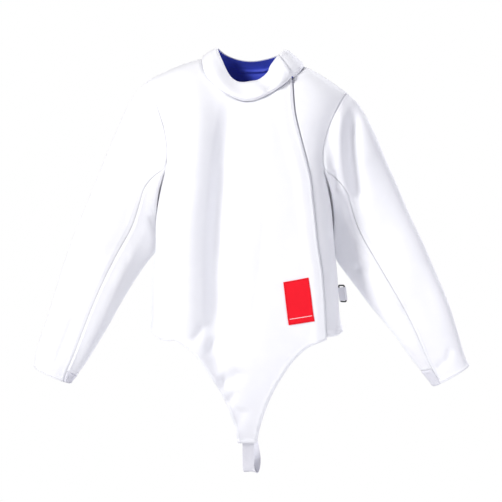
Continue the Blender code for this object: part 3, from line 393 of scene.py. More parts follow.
COLLAR_FOLDS = table(
    "facing x1 z1 x2 z2 x3 z3 right left height slope",
    (-1, 0.0640, -0.0060, 0.0580, -0.0340, 0.0360, -0.0660, 0.0170, 0.0050, -0.0120, 0),
    (-1, 0.0735, 0.0060, 0.0740, -0.0010, 0.0735, -0.0080, 0.0030, 0.0030, -0.0016, 0),
    (-1, -0.0420, -0.0330, -0.0020, -0.0660, 0.0400, -0.0560, 0.0090, 0.0090, -0.0018, 0),
)
# A crease round the neck's lining, behind
LINING_FOLDS = table(
    "facing x1 z1 x2 z2 x3 z3 right left height slope",
    (1, -0.0420, -0.0080, 0.0120, -0.0165, 0.0640, -0.0080, 0.0020, 0.0020, -0.0036, 0),
)
# Slow unevenness of filled cloth: waves along two crossing directions
UNEVEN = table(
    "along_x along_y along_z start height",
    (13.0, 5.0, 9.0, 0.4, 0.00070),
    (-19.0, 11.0, 14.0, 2.1, 0.00050),
    (31.0, -17.0, 23.0, 4.0, 0.00022),
    (-43.0, 29.0, -37.0, 1.2, 0.00014),
)

CLOTH_STEP = 0.0042
SEAM_STEP = 0.0052
SEAM_RINGS = (0.0013, 0.0034, 0.0066, 0.0088)
SEAM_DIP = 0.0016
SLEEVE_SEAM_DIP = 0.0010
LEFT_SEAM_DIP = 0.0024
SEAM_ALLOWANCE = 0.0006
SEAM_TURNED = 0.0100
FLAP_UNLINED = 0.040
CUT_RUNS = 13
CUT_RUN_POINTS = 120
STITCH_INSET = 0.0055
LABEL_STITCH = 0.0022
STITCH_PITCH = 0.0034
STITCH_LENGTH = 0.0026
THREAD_RADIUS = 0.00032


def spline(places, values, at):
    """A natural cubic curve through a table's rows, held level beyond its ends."""
    x = np.asarray(places, float)
    y = np.asarray(values, float)
    gap = np.diff(x)
    slope = np.diff(y) / gap
    system = np.eye(len(x))
    right = np.zeros(len(x))
    for k in range(1, len(x) - 1):
        system[k, k - 1:k + 2] = gap[k - 1], 2 * (gap[k - 1] + gap[k]), gap[k]
        right[k] = 6 * (slope[k] - slope[k - 1])
    bend = np.linalg.solve(system, right)
    at = np.clip(at, x[0], x[-1])
    k = np.clip(np.searchsorted(x, at) - 1, 0, len(gap) - 1)
    before, after = x[k + 1] - at, at - x[k]
    cubic = (bend[k] * before**3 + bend[k + 1] * after**3) / (6 * gap[k])
    straight = (y[k] / gap[k] - bend[k] * gap[k] / 6) * before
    return cubic + straight + (y[k + 1] / gap[k] - bend[k + 1] * gap[k] / 6) * after


def ease(value, start, end):
    """0 before start, 1 after end, and a smooth rise between them."""
    t = np.clip((value - start) / (end - start), 0, 1)
    return t * t * (3 - 2 * t)


def ring(turn, squareness):
    """The sine and cosine of a rounded square ring."""
    across, forth = np.sin(turn), np.cos(turn)
    reach = (np.abs(across) ** squareness + np.abs(forth) ** squareness) ** (-1 / squareness)
    return across * reach, forth * reach


def normals(surface, u, v, step=0.0015):
    """Unit normals of a surface by central differences."""
    along_u = surface(u + step * 8, v) - surface(u - step * 8, v)
    along_v = surface(u, v + step) - surface(u, v - step)
    cross = np.cross(along_u, along_v)
    return cross / np.maximum(np.linalg.norm(cross, axis=-1, keepdims=True), 1e-12)


def body_x(turn, level):
    across, _ = ring(turn, SQUARENESS)
    width = spline(BODY["level"], BODY["half_width"], level)
    return spline(BODY["level"], BODY["middle_x"], level) + width * across


def shoulder_height(x):
    return spline(SHOULDER["x"], SHOULDER["height"], x)


def body(turn, level):
    """The body's middle surface. Turn runs round it from the front to the wearer's left and on."""
    level = np.minimum(level, SHOULDER_LEVEL)
    x = body_x(turn, level)
    _, forth = ring(turn, SQUARENESS)
    depth = np.where(forth > 0, *(spline(BODY["level"], BODY[side], level) for side in ("front", "back")))
    neck_round = np.where(forth > 0, NECK_ROUND_FRONT, NECK_ROUND_BACK)
    power = neck_round + (TIP_ROUND - neck_round) * ease(np.abs(x - NECK_X), ROUND_FROM, ROUND_TO)
    climb = np.clip(level - ARMPIT, 0, None) / SHOULDER_ARC
    share = np.clip(np.sin(climb), 0, 1)
    closing = np.clip(1 - share**power, 0, None) ** (1 / power)
    z = np.where(level < ARMPIT, level, ARMPIT + (shoulder_height(x) - ARMPIT) * share)
    return np.stack([x, -depth * forth * closing, z], -1)


def front_place(x, z):
    """The turn and level of a point of the front that is known from straight ahead."""
    x, z = np.broadcast_arrays(np.asarray(x, float), np.asarray(z, float))
    share = np.clip((z - ARMPIT) / (shoulder_height(x) - ARMPIT), 0, 1)
    level = np.where(z < ARMPIT, z, ARMPIT + np.arcsin(share) * SHOULDER_ARC)
    low = np.full(x.shape, -math.pi / 2)
    high = np.full(x.shape, math.pi / 2)
    for _ in range(40):
        middle = (low + high) / 2
        short = body_x(middle, level) < x
        low = np.where(short, middle, low)
        high = np.where(short, high, middle)
    return np.stack([middle, level], -1)


def back_place(x, z):
    place = front_place(x, z)
    return np.stack([math.pi - place[..., 0], place[..., 1]], -1)


def fold_line(fold):
    """Nine points along a fold, through its three given points."""
    t = np.linspace(0, 1, 9)
    shares = (1 - t) * (1 - 2 * t), 4 * t * (1 - t), t * (2 * t - 1)
    return [sum(share * fold[f"{axis}{k}"] for k, share in enumerate(shares, 1)) for axis in "xz"]


def fold_heights(x, z, facing, folds):
    """How far the folds move the cloth out, for points seen from the front or the back."""
    total = np.zeros(x.shape)
    for k in range(len(folds["facing"])):
        fold = {name: folds[name][k] for name in folds}
        path_x, path_z = fold_line(fold)
        reach = 3.2 * max(fold["right"], fold["left"])
        near = (x > path_x.min() - reach) & (x < path_x.max() + reach) & (facing * fold["facing"] > 0.1)
        near &= (z > path_z.min() - reach) & (z < path_z.max() + reach)
        if not near.any():
            continue
        px, pz = x[near], z[near]
        nearest, sideways, place = np.full(px.shape, 9.0), np.zeros(px.shape), np.zeros(px.shape)
        for s in range(8):
            run_x, run_z = path_x[s + 1] - path_x[s], path_z[s + 1] - path_z[s]
            share = ((px - path_x[s]) * run_x + (pz - path_z[s]) * run_z) / (run_x**2 + run_z**2)
            share = np.clip(share, 0, 1)
            off_x, off_z = px - path_x[s] - share * run_x, pz - path_z[s] - share * run_z
            distance = np.hypot(off_x, off_z)
            closer = distance < nearest
            nearest = np.where(closer, distance, nearest)
            side = np.sign(off_z * run_x - off_x * run_z) * distance
            if run_z > 0:
                side = -side
            sideways = np.where(closer, side, sideways)
            place = np.where(closer, (s + share) / 8, place)
        ratio = sideways / np.where(sideways > 0, fold["left"], fold["right"])
        bump = np.exp(-0.5 * ratio**2)
        if fold["slope"]:
            bump = bump * np.clip(-ratio, -3, 3) * 1.6
        ends = ease(place, 0, 0.3) * (1 - ease(place, 0.75, 1))
        total[near] += fold["height"] * bump * ends * ease(facing[near] * fold["facing"], 0.15, 0.6)
    return total


def unevenness(points):
    """The slow unevenness of cloth that hangs on nothing."""
    total = np.zeros(points.shape[:-1])
    for k in range(len(UNEVEN["start"])):
        way = [UNEVEN[name][k] for name in ("along_x", "along_y", "along_z")]
        total += UNEVEN["height"][k] * np.sin(points @ np.array(way) * 2 + UNEVEN["start"][k])
    return total


def cloth_middle(surface, u, v, sign, lift, folds):
    """The cloth's middle and its outward direction at flat places, with its folds in it.

    Folds move the cloth straight forwards or backwards, so that its edges stay where they show from the front.
    The collar's folds follow its slant instead.
    """
    base = surface(u, v)
    out = normals(surface, u, v) * sign
    height = lift(u, v) if lift else 0
    moved = base
    if folds is not None:
        height = height + unevenness(base)
        creases = fold_heights(base[:, 0], base[:, 2], out[:, 1], folds)
        if surface is collar:
            height = height + creases
        else:
            moved = base + np.array([0, 1.0, 0]) * (np.sign(out[:, 1]) * creases)[:, None]
    return moved + out * np.reshape(height, (-1, 1)), out


def armhole_place(around):
    """The turn and level of the wearer's left armhole seam. The right one has the opposite turn."""
    degrees = np.degrees(around) % 360
    turn = spline(ARMHOLE["around"], ARMHOLE["turn"], degrees)
    return np.radians(turn), spline(ARMHOLE["around"], ARMHOLE["level"], degrees)


def sleeve(side):
    """A sleeve's middle surface. Around is 0 at its outer edge and a quarter turn at its front."""
    rows = SLEEVES[side]
    hand = 1 if side == "left" else -1

    def section(around, along):
        edges = []
        for names in (("outer_x", "inner_y", "outer_z"), ("inner_x", "inner_y", "inner_z")):
            edges.append(np.stack([spline(rows["along"], rows[name], along) for name in names], -1))
        outer, inner = edges
        outer[..., 1] *= OUTER_EDGE_Y_SHARE
        forth, across = ring(around, SLEEVE_SQUARENESS)
        half = (outer - inner) / 2
        span = half / np.linalg.norm(half, axis=-1, keepdims=True)
        depth_way = np.array([0.0, -1.0, 0.0]) + span * span[..., 1:2]
        depth_way /= np.linalg.norm(depth_way, axis=-1, keepdims=True)
        depth = spline(rows["along"], rows["depth"], along)[..., None]
        return (outer + inner) / 2 + half * across[..., None] + depth_way * depth * forth[..., None]

    def surface(around, along):
        along = np.clip(along, 0, None)
        turn, level = armhole_place(around)
        out = normals(body, turn * hand, np.minimum(level, RIDGE_LEVEL))
        seam = body(turn * hand, level) + out * SLEEVE_LIFT[side]
        fade = (1 - ease(along, 0, CAP_FADE))[..., None]
        start = section(around, np.zeros(np.shape(along)))
        return section(around, along) + (seam - start) * fade

    return surface


def neck_point(turn):
    """A point of the neck seam on the body's middle surface, its normal, and how far the flap lifts it."""
    degrees = (np.degrees(turn) + 90) % 360 - 90
    in_front = degrees <= 90
    places = []
    for rows, place in ((NECK_FRONT, front_place), (NECK_BACK, back_place)):
        x = spline(rows["turn"], rows["x"], degrees)
        places.append(place(x, spline(rows["turn"], rows["height"], degrees)))
    chosen = np.where(in_front[..., None], *places)
    level = np.minimum(chosen[..., 1], RIDGE_LEVEL)
    on_flap = turn > 0
    lift = np.where(on_flap, flap_lift(chosen[..., 0], chosen[..., 1]) * TAB_OVER_FLAP, 0)
    base = body(chosen[..., 0], chosen[..., 1])
    out = normals(body, chosen[..., 0], level)
    out[..., 1] *= ease(np.abs(base[..., 1]), 0, RIDGE_BLEND)
    return base, out / np.linalg.norm(out, axis=-1, keepdims=True), lift


def rim_point(turn):
    degrees = (np.degrees(turn) + 180) % 360 - 180
    rows = [np.concatenate([RIM[name][:-1] - wrap, RIM[name], RIM[name][1:] + wrap])
            for name, wrap in (("turn", 360), ("x", 0), ("y", 0), ("height", 0))]
    return np.stack([spline(rows[0], row, degrees) for row in rows[1:]], -1)


def collar(turn, rise):
    """The collar's middle surface: rise is 0 at the neck seam and 1 at the rim."""
    base, out, lift = neck_point(turn)
    base = base + out * (WALL / 2 + COLLAR_WALL / 2 + COLLAR_CLEAR + lift)[..., None]
    rim = rim_point(turn)
    rise = np.asarray(rise, float)[..., None]
    bulge = COLLAR_BULGE * 4 * rise * (1 - rise)
    in_front = ease(np.cos(turn), 0.0, 0.7)[..., None]
    height = np.clip(rise, 0, 1)
    roll = COLLAR_ROLL * in_front * np.sin(math.pi * height**0.62) * np.sqrt(1 - height)
    way = np.array([0, -1.0, -0.35])
    return base + (rim - base) * rise + out * bulge + way * roll


def collar_lift(turn, rise):
    """The collar's free end lies over its other end."""
    share = TAB_FOOT_SHARE + (1 - TAB_FOOT_SHARE) * ease(rise, 0, 0.5)
    return TAB_LIFT * share * ease(np.degrees(turn), COLLAR_TAB_FROM - 16, COLLAR_TAB_FROM)


def closure_turn(level):
    """The turn of the closure's edge at a level."""
    height = CLOSURE["height"]
    places = front_place(CLOSURE["x"], height)
    return spline(places[:, 1], places[:, 0], level)


def flap_lift(turn, level):
    """The front flap lies out over the front beneath it."""
    reach = spline(BODY["level"], BODY["half_width"], level)
    distance = (closure_turn(level) - turn) * reach
    return FLAP_LIFT * (1 - ease(distance, FLAP_FLAT, FLAP_FLAT + FLAP_FADE))


def under_flap(turn, level):
    """The front beneath the flap lies a little lower, up to just outside the closure's edge."""
    reach = spline(BODY["level"], BODY["half_width"], level)
    return -UNDER_FLAP * (1 - ease((turn - closure_turn(level)) * reach, 0.0006, 0.0056))


def resample(points, scale, step):
    """An open line's points about one step apart, its ends kept."""
    points = np.asarray(points, float)
    length = np.concatenate([[0], np.cumsum(np.linalg.norm(np.diff(points * scale, axis=0), axis=1))])
    count = max(1, round(length[-1] / step))
    at = np.linspace(0, length[-1], count + 1)
    return np.stack([np.interp(at, length, points[:, k]) for k in range(2)], -1)


def closed_outline(scale, *edges):
    """A closed outline from edges that meet end to end, each with its own spacing."""
    lines = [np.array(line, float) for line, _ in edges]
    for k in range(len(lines)):
        lines[k][0] = lines[k - 1][-1]
    return np.concatenate([resample(line, scale, step)[:-1] for line, (_, step) in zip(lines, edges)])


def inside(points, outline):
    """Which points lie inside a closed outline."""
    hit = np.zeros(len(points), bool)
    for a, b in zip(outline, np.roll(outline, -1, axis=0)):
        crosses = (a[1] > points[:, 1]) != (b[1] > points[:, 1])
        with np.errstate(divide="ignore", invalid="ignore"):
            x = a[0] + (points[:, 1] - a[1]) * (b[0] - a[0]) / (b[1] - a[1])
        hit ^= crosses & (points[:, 0] < x)
    return hit


def outline_distance(points, outline):
    """How far each point is from a closed outline."""
    nearest = np.full(len(points), 9.0)
    for a, b in zip(outline, np.roll(outline, -1, axis=0)):
        way = b - a
        share = np.clip(((points - a) @ way) / max(way @ way, 1e-12), 0, 1)
        nearest = np.minimum(nearest, np.linalg.norm(points - a - share[:, None] * way, axis=1))
    return nearest


def ring_inside(outline, inset, spacing):
    """Points of a ring that runs inside an outline at one distance from it."""
    closed = np.concatenate([outline, outline[:1]])
    points = resample(closed, 1.0, spacing)[:-1]
    way = np.roll(points, -1, axis=0) - np.roll(points, 1, axis=0)
    side = np.stack([-way[:, 1], way[:, 0]], -1) / np.maximum(np.linalg.norm(way, axis=1, keepdims=True), 1e-9)
    moved = points + side * inset
    if np.mean(inside(moved, outline)) < 0.5:
        moved = points - side * inset
    keep = inside(moved, outline) & (outline_distance(moved, outline) > inset * 0.93)
    return moved, keep


def seam_profile(distance, dip):
    """The outer face's height beside an edge: it rolls in at the seam and is thicker over the allowance."""
    return SEAM_ALLOWANCE * (1 - ease(distance, 0.0066, 0.0088)) - dip * np.exp(-(distance / 0.0024) ** 2)


def mesh_piece(name, points, faces, kinds, flat, finishes):
    """A mesh object with one finish for each kind of face and its flat layout as its UV map."""
    name += "_cloth"
    mesh = bpy.data.meshes.new(name)
    mesh.from_pydata(points.tolist(), [], faces)
    for finish in finishes:
        mesh.materials.append(finish)
    mesh.polygons.foreach_set("material_index", np.array(kinds, np.int32))
    layer = mesh.uv_layers.new(name="flat")
    corner = np.zeros(len(mesh.loops), np.int32)
    mesh.loops.foreach_get("vertex_index", corner)
    layer.data.foreach_set("uv", flat[corner].astype(np.float32).ravel())
    mesh.validate()
    mesh.shade_smooth()
    mesh.set_sharp_from_angle(angle=math.radians(55))
    made = bpy.data.objects.new(name, mesh)
    bpy.context.scene.collection.objects.link(made)
    return made


def grown_normals(points, faces):
    """Vertex normals from the triangles round each point."""
    triangles = np.array(faces)
    a, b, c = points[triangles[:, 0]], points[triangles[:, 1]], points[triangles[:, 2]]
    face = np.cross(b - a, c - a)
    total = np.zeros(points.shape)
    for k in range(3):
        np.add.at(total, triangles[:, k], face)
    return total / np.maximum(np.linalg.norm(total, axis=1, keepdims=True), 1e-12)


def cut_size(surface, outline, scale, sign, lift):
    """The width and length that a piece was cut to: its flat box, stretched as its longest runs are on the surface."""
    low, high = outline.min(0), outline.max(0)
    sizes = []
    for axis in (0, 1):
        places = np.linspace(low[axis], high[axis], CUT_RUN_POINTS)
        levels = np.linspace(low[1 - axis], high[1 - axis], CUT_RUNS + 2)[1:-1]
        grid = np.zeros((CUT_RUNS, CUT_RUN_POINTS, 2))
        grid[..., axis] = places
        grid[..., 1 - axis] = levels[:, None]
        flat = grid.reshape(-1, 2)
        points, _ = cloth_middle(surface, *(flat / scale).T, sign, lift, None)
        steps = np.linalg.norm(np.diff(points.reshape(CUT_RUNS, CUT_RUN_POINTS, 3), axis=1), axis=2)
        held = inside(flat, outline).reshape(CUT_RUNS, CUT_RUN_POINTS)
        held = held[:, 1:] & held[:, :-1]
        lengths = (steps * held).sum(1)
        longest = lengths.argmax()
        stretch = lengths[longest] / (held[longest].sum() * (places[1] - places[0]))
        sizes.append(float((high[axis] - low[axis]) * stretch))
    return sizes


STITCH_RUNS = []


def cut_piece(name, surface, edges, wall, finishes, scale, step=CLOTH_STEP, lift=None, bands=(), rise=None, sign=1,
              folds=FOLDS, seams=True, stitch=STITCH_INSET, dip=SEAM_DIP, unlined=None):
    """A piece of cloth: its outline is filled with points, laid on its surface, and given its wall and seam edges.

    A lift moves the whole piece out, and a rise thickens its outer face. Bands are lines that the mesh follows.
    The inner face is lining, apart from the turned seam edges and where the piece is unlined.
    """
    scale = np.asarray(scale, float)
    outline = closed_outline(scale, *[(line, min(spacing, SEAM_STEP)) for line, spacing in edges]) * scale
    bands = [resample(band, scale, SEAM_STEP) * scale for band in bands]
    low, high = outline.min(0), outline.max(0)
    columns, rows = np.arange(low[0], high[0], step), np.arange(low[1], high[1], step * 0.87)
    grid = np.array([(x + (k % 2) * step / 2, y) for k, y in enumerate(rows) for x in columns])
    grid = grid[inside(grid, outline)]
    grid = grid[outline_distance(grid, outline) > (SEAM_RINGS[-1] + step * 0.5 if seams else step * 0.5)]
    points = [Vector(p) for p in outline]
    joins = [(k, (k + 1) % len(outline)) for k in range(len(outline))]
    if seams:
        for inset in SEAM_RINGS:
            ring_points, keep = ring_inside(outline, inset, SEAM_STEP)
            points += [Vector(p) for p in ring_points[keep]]
    for band in bands:
        first = len(points)
        points += [Vector(p) for p in band]
        joins += [(first + k, first + k + 1) for k in range(len(band) - 1)]
        grid = grid[outline_distance(grid, np.concatenate([band, band[::-1]])) > step * 0.4]
    points += [Vector(p) for p in grid]
    flat, _, faces, *_ = delaunay_2d_cdt(points, joins, [], 1, 1e-6)
    flat = np.array([tuple(p) for p in flat])
    faces = [tuple(f) for f in faces]
    u, v = (flat / scale).T
    middle, toward = cloth_middle(surface, u, v, sign, lift, folds)
    out = grown_normals(middle, faces)
    if np.mean(np.sum(out * toward, axis=1)) < 0:
        out = -out
    edge = outline_distance(flat, outline)
    half = wall / 2 * (0.55 + 0.45 * ease(edge, 0, 0.0016))
    outer_rise = half + (seam_profile(edge, dip) if seams else 0) + (rise(u, v) if rise else 0)
    outer, inner = middle + out * outer_rise[:, None], middle - out * half[:, None]
    count = len(middle)
    back_faces = [tuple(count + k for k in reversed(f)) for f in faces]
    sides = {(a, b) for f in faces for a, b in zip(f, f[1:] + f[:1])}
    rims = [(b, a, count + a, count + b) for a, b in sides if (b, a) not in sides]
    if np.sum(np.cross(middle[faces[0][1]] - middle[faces[0][0]], middle[faces[0][2]] - middle[faces[0][0]])
              * out[faces[0][0]]) < 0:
        faces, back_faces, rims = ([f[::-1] for f in group] for group in (faces, back_faces, rims))
    white = edge < SEAM_TURNED
    if unlined:
        white |= unlined(u, v)
    inner_kinds = [0 if white[list(f)].all() else len(finishes) - 1 for f in faces]
    kinds = [0] * len(faces) + inner_kinds + [0] * len(rims)
    made = mesh_piece(name, np.concatenate([outer, inner]), faces + back_faces + rims, kinds,
                      np.concatenate([flat, flat]), finishes)
    [round(size, 3) for size in cut_size(surface, outline, scale, sign, lift)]
    if stitch:
        ring_points, keep = ring_inside(outline, stitch, 0.003)
        place = ring_points / scale
        row, _ = cloth_middle(surface, place[:, 0], place[:, 1], sign, lift, folds)
        up = normals(surface, place[:, 0], place[:, 1]) * sign
        proud = wall / 2 + (SEAM_ALLOWANCE if seams else 0) + THREAD_RADIUS * 0.5
        if rise:
            row = row + up * rise(place[:, 0], place[:, 1])[:, None]
        row = row + up * proud
        STITCH_RUNS.append((row, keep))
    return made


def strap_piece(name, path, width_way, width, thick, finish, count, across=12):
    """A woven strap along a smooth path: raised cords along it and rounded edges."""
    rows = np.stack([path["x"], path["y"], path["height"]], -1)
    length = np.concatenate([[0], np.cumsum(np.linalg.norm(np.diff(rows, axis=0), axis=1))])
    at = np.linspace(0, length[-1], count)
    middle = np.stack([spline(length, rows[:, k], at) for k in range(3)], -1)
    return woven_strap(name, middle, np.tile(width_way, (count, 1)), width, thick, finish, across)


def woven_strap(name, middle, width_ways, width, thick, finish, across=12):
    """A strap of webbing along points, each with the way its width runs."""
    way = np.gradient(middle, axis=0)
    way /= np.linalg.norm(way, axis=1, keepdims=True)
    side = width_ways - way * np.sum(way * width_ways, axis=1)[:, None]
    side /= np.linalg.norm(side, axis=1, keepdims=True)
    face = np.cross(way, side)
    shares = np.linspace(-1, 1, across * 2 + 1)
    cords = 0.12 * np.cos(np.arange(len(shares)) * math.pi)
    height = thick / 2 * (0.88 + cords) * np.sqrt(np.clip(1 - np.abs(shares) ** 8, 0.1, 1))
    ring_points = [(share, rise) for share, rise in zip(shares, height)]
    ring_points += [(share, -rise) for share, rise in zip(shares[::-1], height[::-1])]
    travel = np.concatenate([[0], np.cumsum(np.linalg.norm(np.diff(middle, axis=0), axis=1))])
    points, flat = [], []
    for k in range(len(middle)):
        for share, rise in ring_points:
            points.append(middle[k] + side[k] * share * width / 2 + face[k] * rise)
            flat.append((share * width / 2, travel[k]))
    n = len(ring_points)
    faces = [tuple(range(n)), tuple(n * (len(middle) - 1) + k for k in reversed(range(n)))]
    for k in range(len(middle) - 1):
        faces += [(n * k + a, n * k + n + a, n * k + n + (a + 1) % n, n * k + (a + 1) % n) for a in range(n)]
    made = mesh_piece(name, np.array(points), faces, [0] * len(faces), np.array(flat), [finish])
    turn_out(made)
    return made


def add_solid(name, points, faces, finish):
    """A closed solid with one finish."""
    points = np.array(points)
    made = mesh_piece(name, points, [tuple(f) for f in faces], [0] * len(faces), points[:, 1:], [finish])
    turn_out(made)
    return made


def turn_out(made):
    """The faces of a closed mesh pointed outwards."""
    work = bmesh.new()
    work.from_mesh(made.data)
    bmesh.ops.recalc_face_normals(work, faces=work.faces[:])
    work.to_mesh(made.data)
    work.free()


def run(start, end, count=24):
    """Straight steps between two flat places."""
    return np.linspace(start, end, count)


def neck_line(start, end, rows, place):
    degrees = np.linspace(start, end, 40)
    x = spline(rows["turn"], rows["x"], degrees)
    places = place(x, spline(rows["turn"], rows["height"], degrees))
    places[:, 1] = np.minimum(places[:, 1], SHOULDER_LEVEL - NECK_SEAM_BACK)
    return places


def armhole_line(start, end, hand):
    """The armhole seam's flat places between two angles round it, in degrees."""
    turn, level = armhole_place(np.radians(np.linspace(start, end, 60)))
    return np.stack([turn * hand, np.minimum(level, SHOULDER_LEVEL - TIP_SEAM_BACK)], -1)


def closure_line(aside, start, end):
    """A line beside the closure's edge, aside towards the wearer's left, between two levels."""
    levels = np.linspace(start, end, 50)
    reach = spline(BODY["level"], BODY["half_width"], levels)
    return np.stack([closure_turn(levels) + aside / reach, levels], -1)


def shoulder_seam(start_turn, end_turn, start_back, end_back):
    """The shoulder seam, set back from the shoulder line far enough for the gap there."""
    return run((start_turn, SHOULDER_LEVEL - start_back), (end_turn, SHOULDER_LEVEL - end_back))


BODY_SCALE = (0.17, 1.0)
SLEEVE_SCALE = (0.055, 1.0)
COLLAR_SCALE = (0.09, 0.04)


def band_lines(line):
    """The two lines of a hem band's step, from the band's upper edge in turn and level."""
    line = np.asarray(line, float)
    return [line, line - np.array([0, HEM_STEP])]


def hem_rise(band_level):
    """The rise of a turned hem below a level."""
    return lambda u, v: HEM_RISE * (v < band_level - HEM_STEP / 2)


def front_main(cloth):
    """The wearer's right front, its flap over the closure, and the tongue, in one piece."""
    seam = math.radians(-90) + SIDE_SEAM_TURN
    heights = np.linspace(TONGUE["height"][0], TONGUE["height"][-1], 40)
    right_leg = front_place(spline(-TONGUE["height"], TONGUE["right_x"], -heights), heights)
    left_leg = front_place(spline(-TONGUE["height"], TONGUE["left_x"], -heights), heights)[::-1]
    xs = np.linspace(RIGHT_HEM["x"][0], RIGHT_HEM["x"][-1], 12)
    hem = front_place(xs, spline(RIGHT_HEM["x"], RIGHT_HEM["height"], xs))
    hem[0] = (seam, RIGHT_HEM["height"][0])
    neck_top = front_place(CLOSURE["x"][-1], CLOSURE["height"][-1])
    closure = closure_line(0, left_leg[-1][1], neck_top[1])
    neck = neck_line(49, -90, NECK_FRONT, front_place)
    armhole = armhole_line(0, 180, -1)
    armhole[-1][0] = seam
    band = TONGUE["height"][-1] + TONGUE_BAND
    band_ends = [front_place(spline(-TONGUE["height"], TONGUE[edge], -band) * 0.97, band)
                 for edge in ("right_x", "left_x")]

    def near_closure(u, v):
        return (closure_turn(v) - u) * spline(BODY["level"], BODY["half_width"], v) < FLAP_UNLINED

    flap_lines = [closure_line(-aside, left_leg[-1][1] + 0.012, neck_top[1] - 0.02) for aside in FLAP_LINES]
    edges = ((hem, FINE_STEP), (right_leg, EDGE_STEP), (run(right_leg[-1], left_leg[0], 6), FINE_STEP),
             (left_leg, EDGE_STEP), (closure, EDGE_STEP), (neck, FINE_STEP),
             (shoulder_seam(neck[-1][0], armhole[0][0], NECK_SEAM_BACK, TIP_SEAM_BACK), EDGE_STEP),
             (armhole, FINE_STEP), (run(armhole[-1], hem[0]), EDGE_STEP))
    return cut_piece("front_main", body, edges, WALL, cloth, BODY_SCALE, lift=flap_lift,
                     bands=band_lines(run(*band_ends, 4)) + flap_lines, rise=hem_rise(band), unlined=near_closure)


def front_left(cloth):
    """The wearer's left front, from under the closure to the side seam."""
    seam = math.radians(90) - SIDE_SEAM_TURN
    top = front_place(CLOSURE["x"][-1], CLOSURE["height"][-1])
    underlap = closure_line(-UNDERLAP, top[1] - 0.004, LEFT_HEM)
    hem = run(underlap[-1], (seam, LEFT_HEM), 20)
    armhole = armhole_line(180, 0, 1)
    armhole[0][0] = seam
    neck = neck_line(90, 41, NECK_FRONT, front_place)
    shoulder = shoulder_seam(armhole[-1][0], neck[0][0], TIP_SEAM_BACK, NECK_SEAM_BACK)
    edges = ((hem, FINE_STEP), (run(hem[-1], armhole[0]), EDGE_STEP), (armhole, FINE_STEP),
             (shoulder, EDGE_STEP), (neck, FINE_STEP), (underlap, EDGE_STEP))
    band = LEFT_HEM + HEM_BAND
    bands = band_lines([(closure_turn(band) + 0.04, band), (seam - 0.01, band)])
    bands += [closure_line(aside, LEFT_HEM + 0.012, top[1] - 0.02)
              for aside in (-UNDERLAP / 2, 0, 0.0014, 0.0030, 0.0052)]
    return cut_piece("front_left", body, edges, WALL, cloth, BODY_SCALE, bands=bands, lift=under_flap,
                     rise=hem_rise(band), dip=LEFT_SEAM_DIP)


def back(cloth):
    """The back, from side seam to side seam."""
    seams = math.radians(90) + SIDE_SEAM_TURN, math.radians(270) - SIDE_SEAM_TURN
    hem = run((seams[1], BACK_HEM), (seams[0], BACK_HEM), 40)
    left_hole = armhole_line(180, 359.99, 1)
    left_hole[0][0] = seams[0]
    right_hole = armhole_line(359.99, 180, -1)
    right_hole[:, 0] += 2 * math.pi
    right_hole[-1][0] = seams[1]
    neck = neck_line(90, 270, NECK_BACK, back_place)
    edges = ((hem, FINE_STEP), (run(hem[-1], left_hole[0]), EDGE_STEP), (left_hole, FINE_STEP),
             (shoulder_seam(left_hole[-1][0], neck[0][0], TIP_SEAM_BACK, NECK_SEAM_BACK), EDGE_STEP),
             (neck, FINE_STEP),
             (shoulder_seam(neck[-1][0], right_hole[0][0], NECK_SEAM_BACK, TIP_SEAM_BACK), EDGE_STEP),
             (right_hole, FINE_STEP),
             (run(right_hole[-1], hem[0]), EDGE_STEP))
    band = BACK_HEM + HEM_BAND
    return cut_piece("back", body, edges, WALL, cloth, BODY_SCALE,
                     bands=band_lines([(seams[0] + 0.01, band), (seams[1] - 0.01, band)]), rise=hem_rise(band))


def back_neck_lining(lining):
    """The lining inside the back, down from the neck seam."""
    neck = neck_line(*BACK_LINING_NECK, NECK_BACK, back_place)
    neck[:, 1] -= NECK_SEAM_BACK
    low_left, low_right = [(math.radians(turn), BACK_LINING_LEVEL) for turn in BACK_LINING_TURNS]
    edges = ((run(low_right, low_left), EDGE_STEP), (run(low_left, neck[0]), FINE_STEP), (neck, FINE_STEP),
             (run(neck[-1], low_right), FINE_STEP))
    depth = (WALL + LINING_WALL) / 2 + LAID_GAP
    return cut_piece("back_neck_lining", body, edges, LINING_WALL, lining, BODY_SCALE, seams=False, stitch=None,
                     lift=lambda u, v: np.full(u.shape, -depth))


def label(finish):
    """The cloth label, laid on the front beside the closure."""
    corners = [front_place(*corner) for corner in LABEL_CORNERS]
    edges = [(run(a, b, 24), SEAM_STEP) for a, b in zip(corners, corners[1:] + corners[:1])]
    height = (WALL + LABEL_WALL) / 2 + LAID_GAP
    return cut_piece("label", body, edges, LABEL_WALL, finish, BODY_SCALE, seams=False, stitch=LABEL_STITCH,
                     lift=lambda u, v: flap_lift(u, v) + height)


def seam_around(along):
    return np.radians(spline(SLEEVE_SEAM["along"], SLEEVE_SEAM["around"], along))


def seam_lines(start, end, clear):
    """Both seams of a sleeve between two places along it, moved clear into the inner part."""
    along = np.linspace(start, end, 60)
    around = seam_around(along) + clear
    return np.stack([around, along], -1), np.stack([2 * math.pi - around, along], -1)


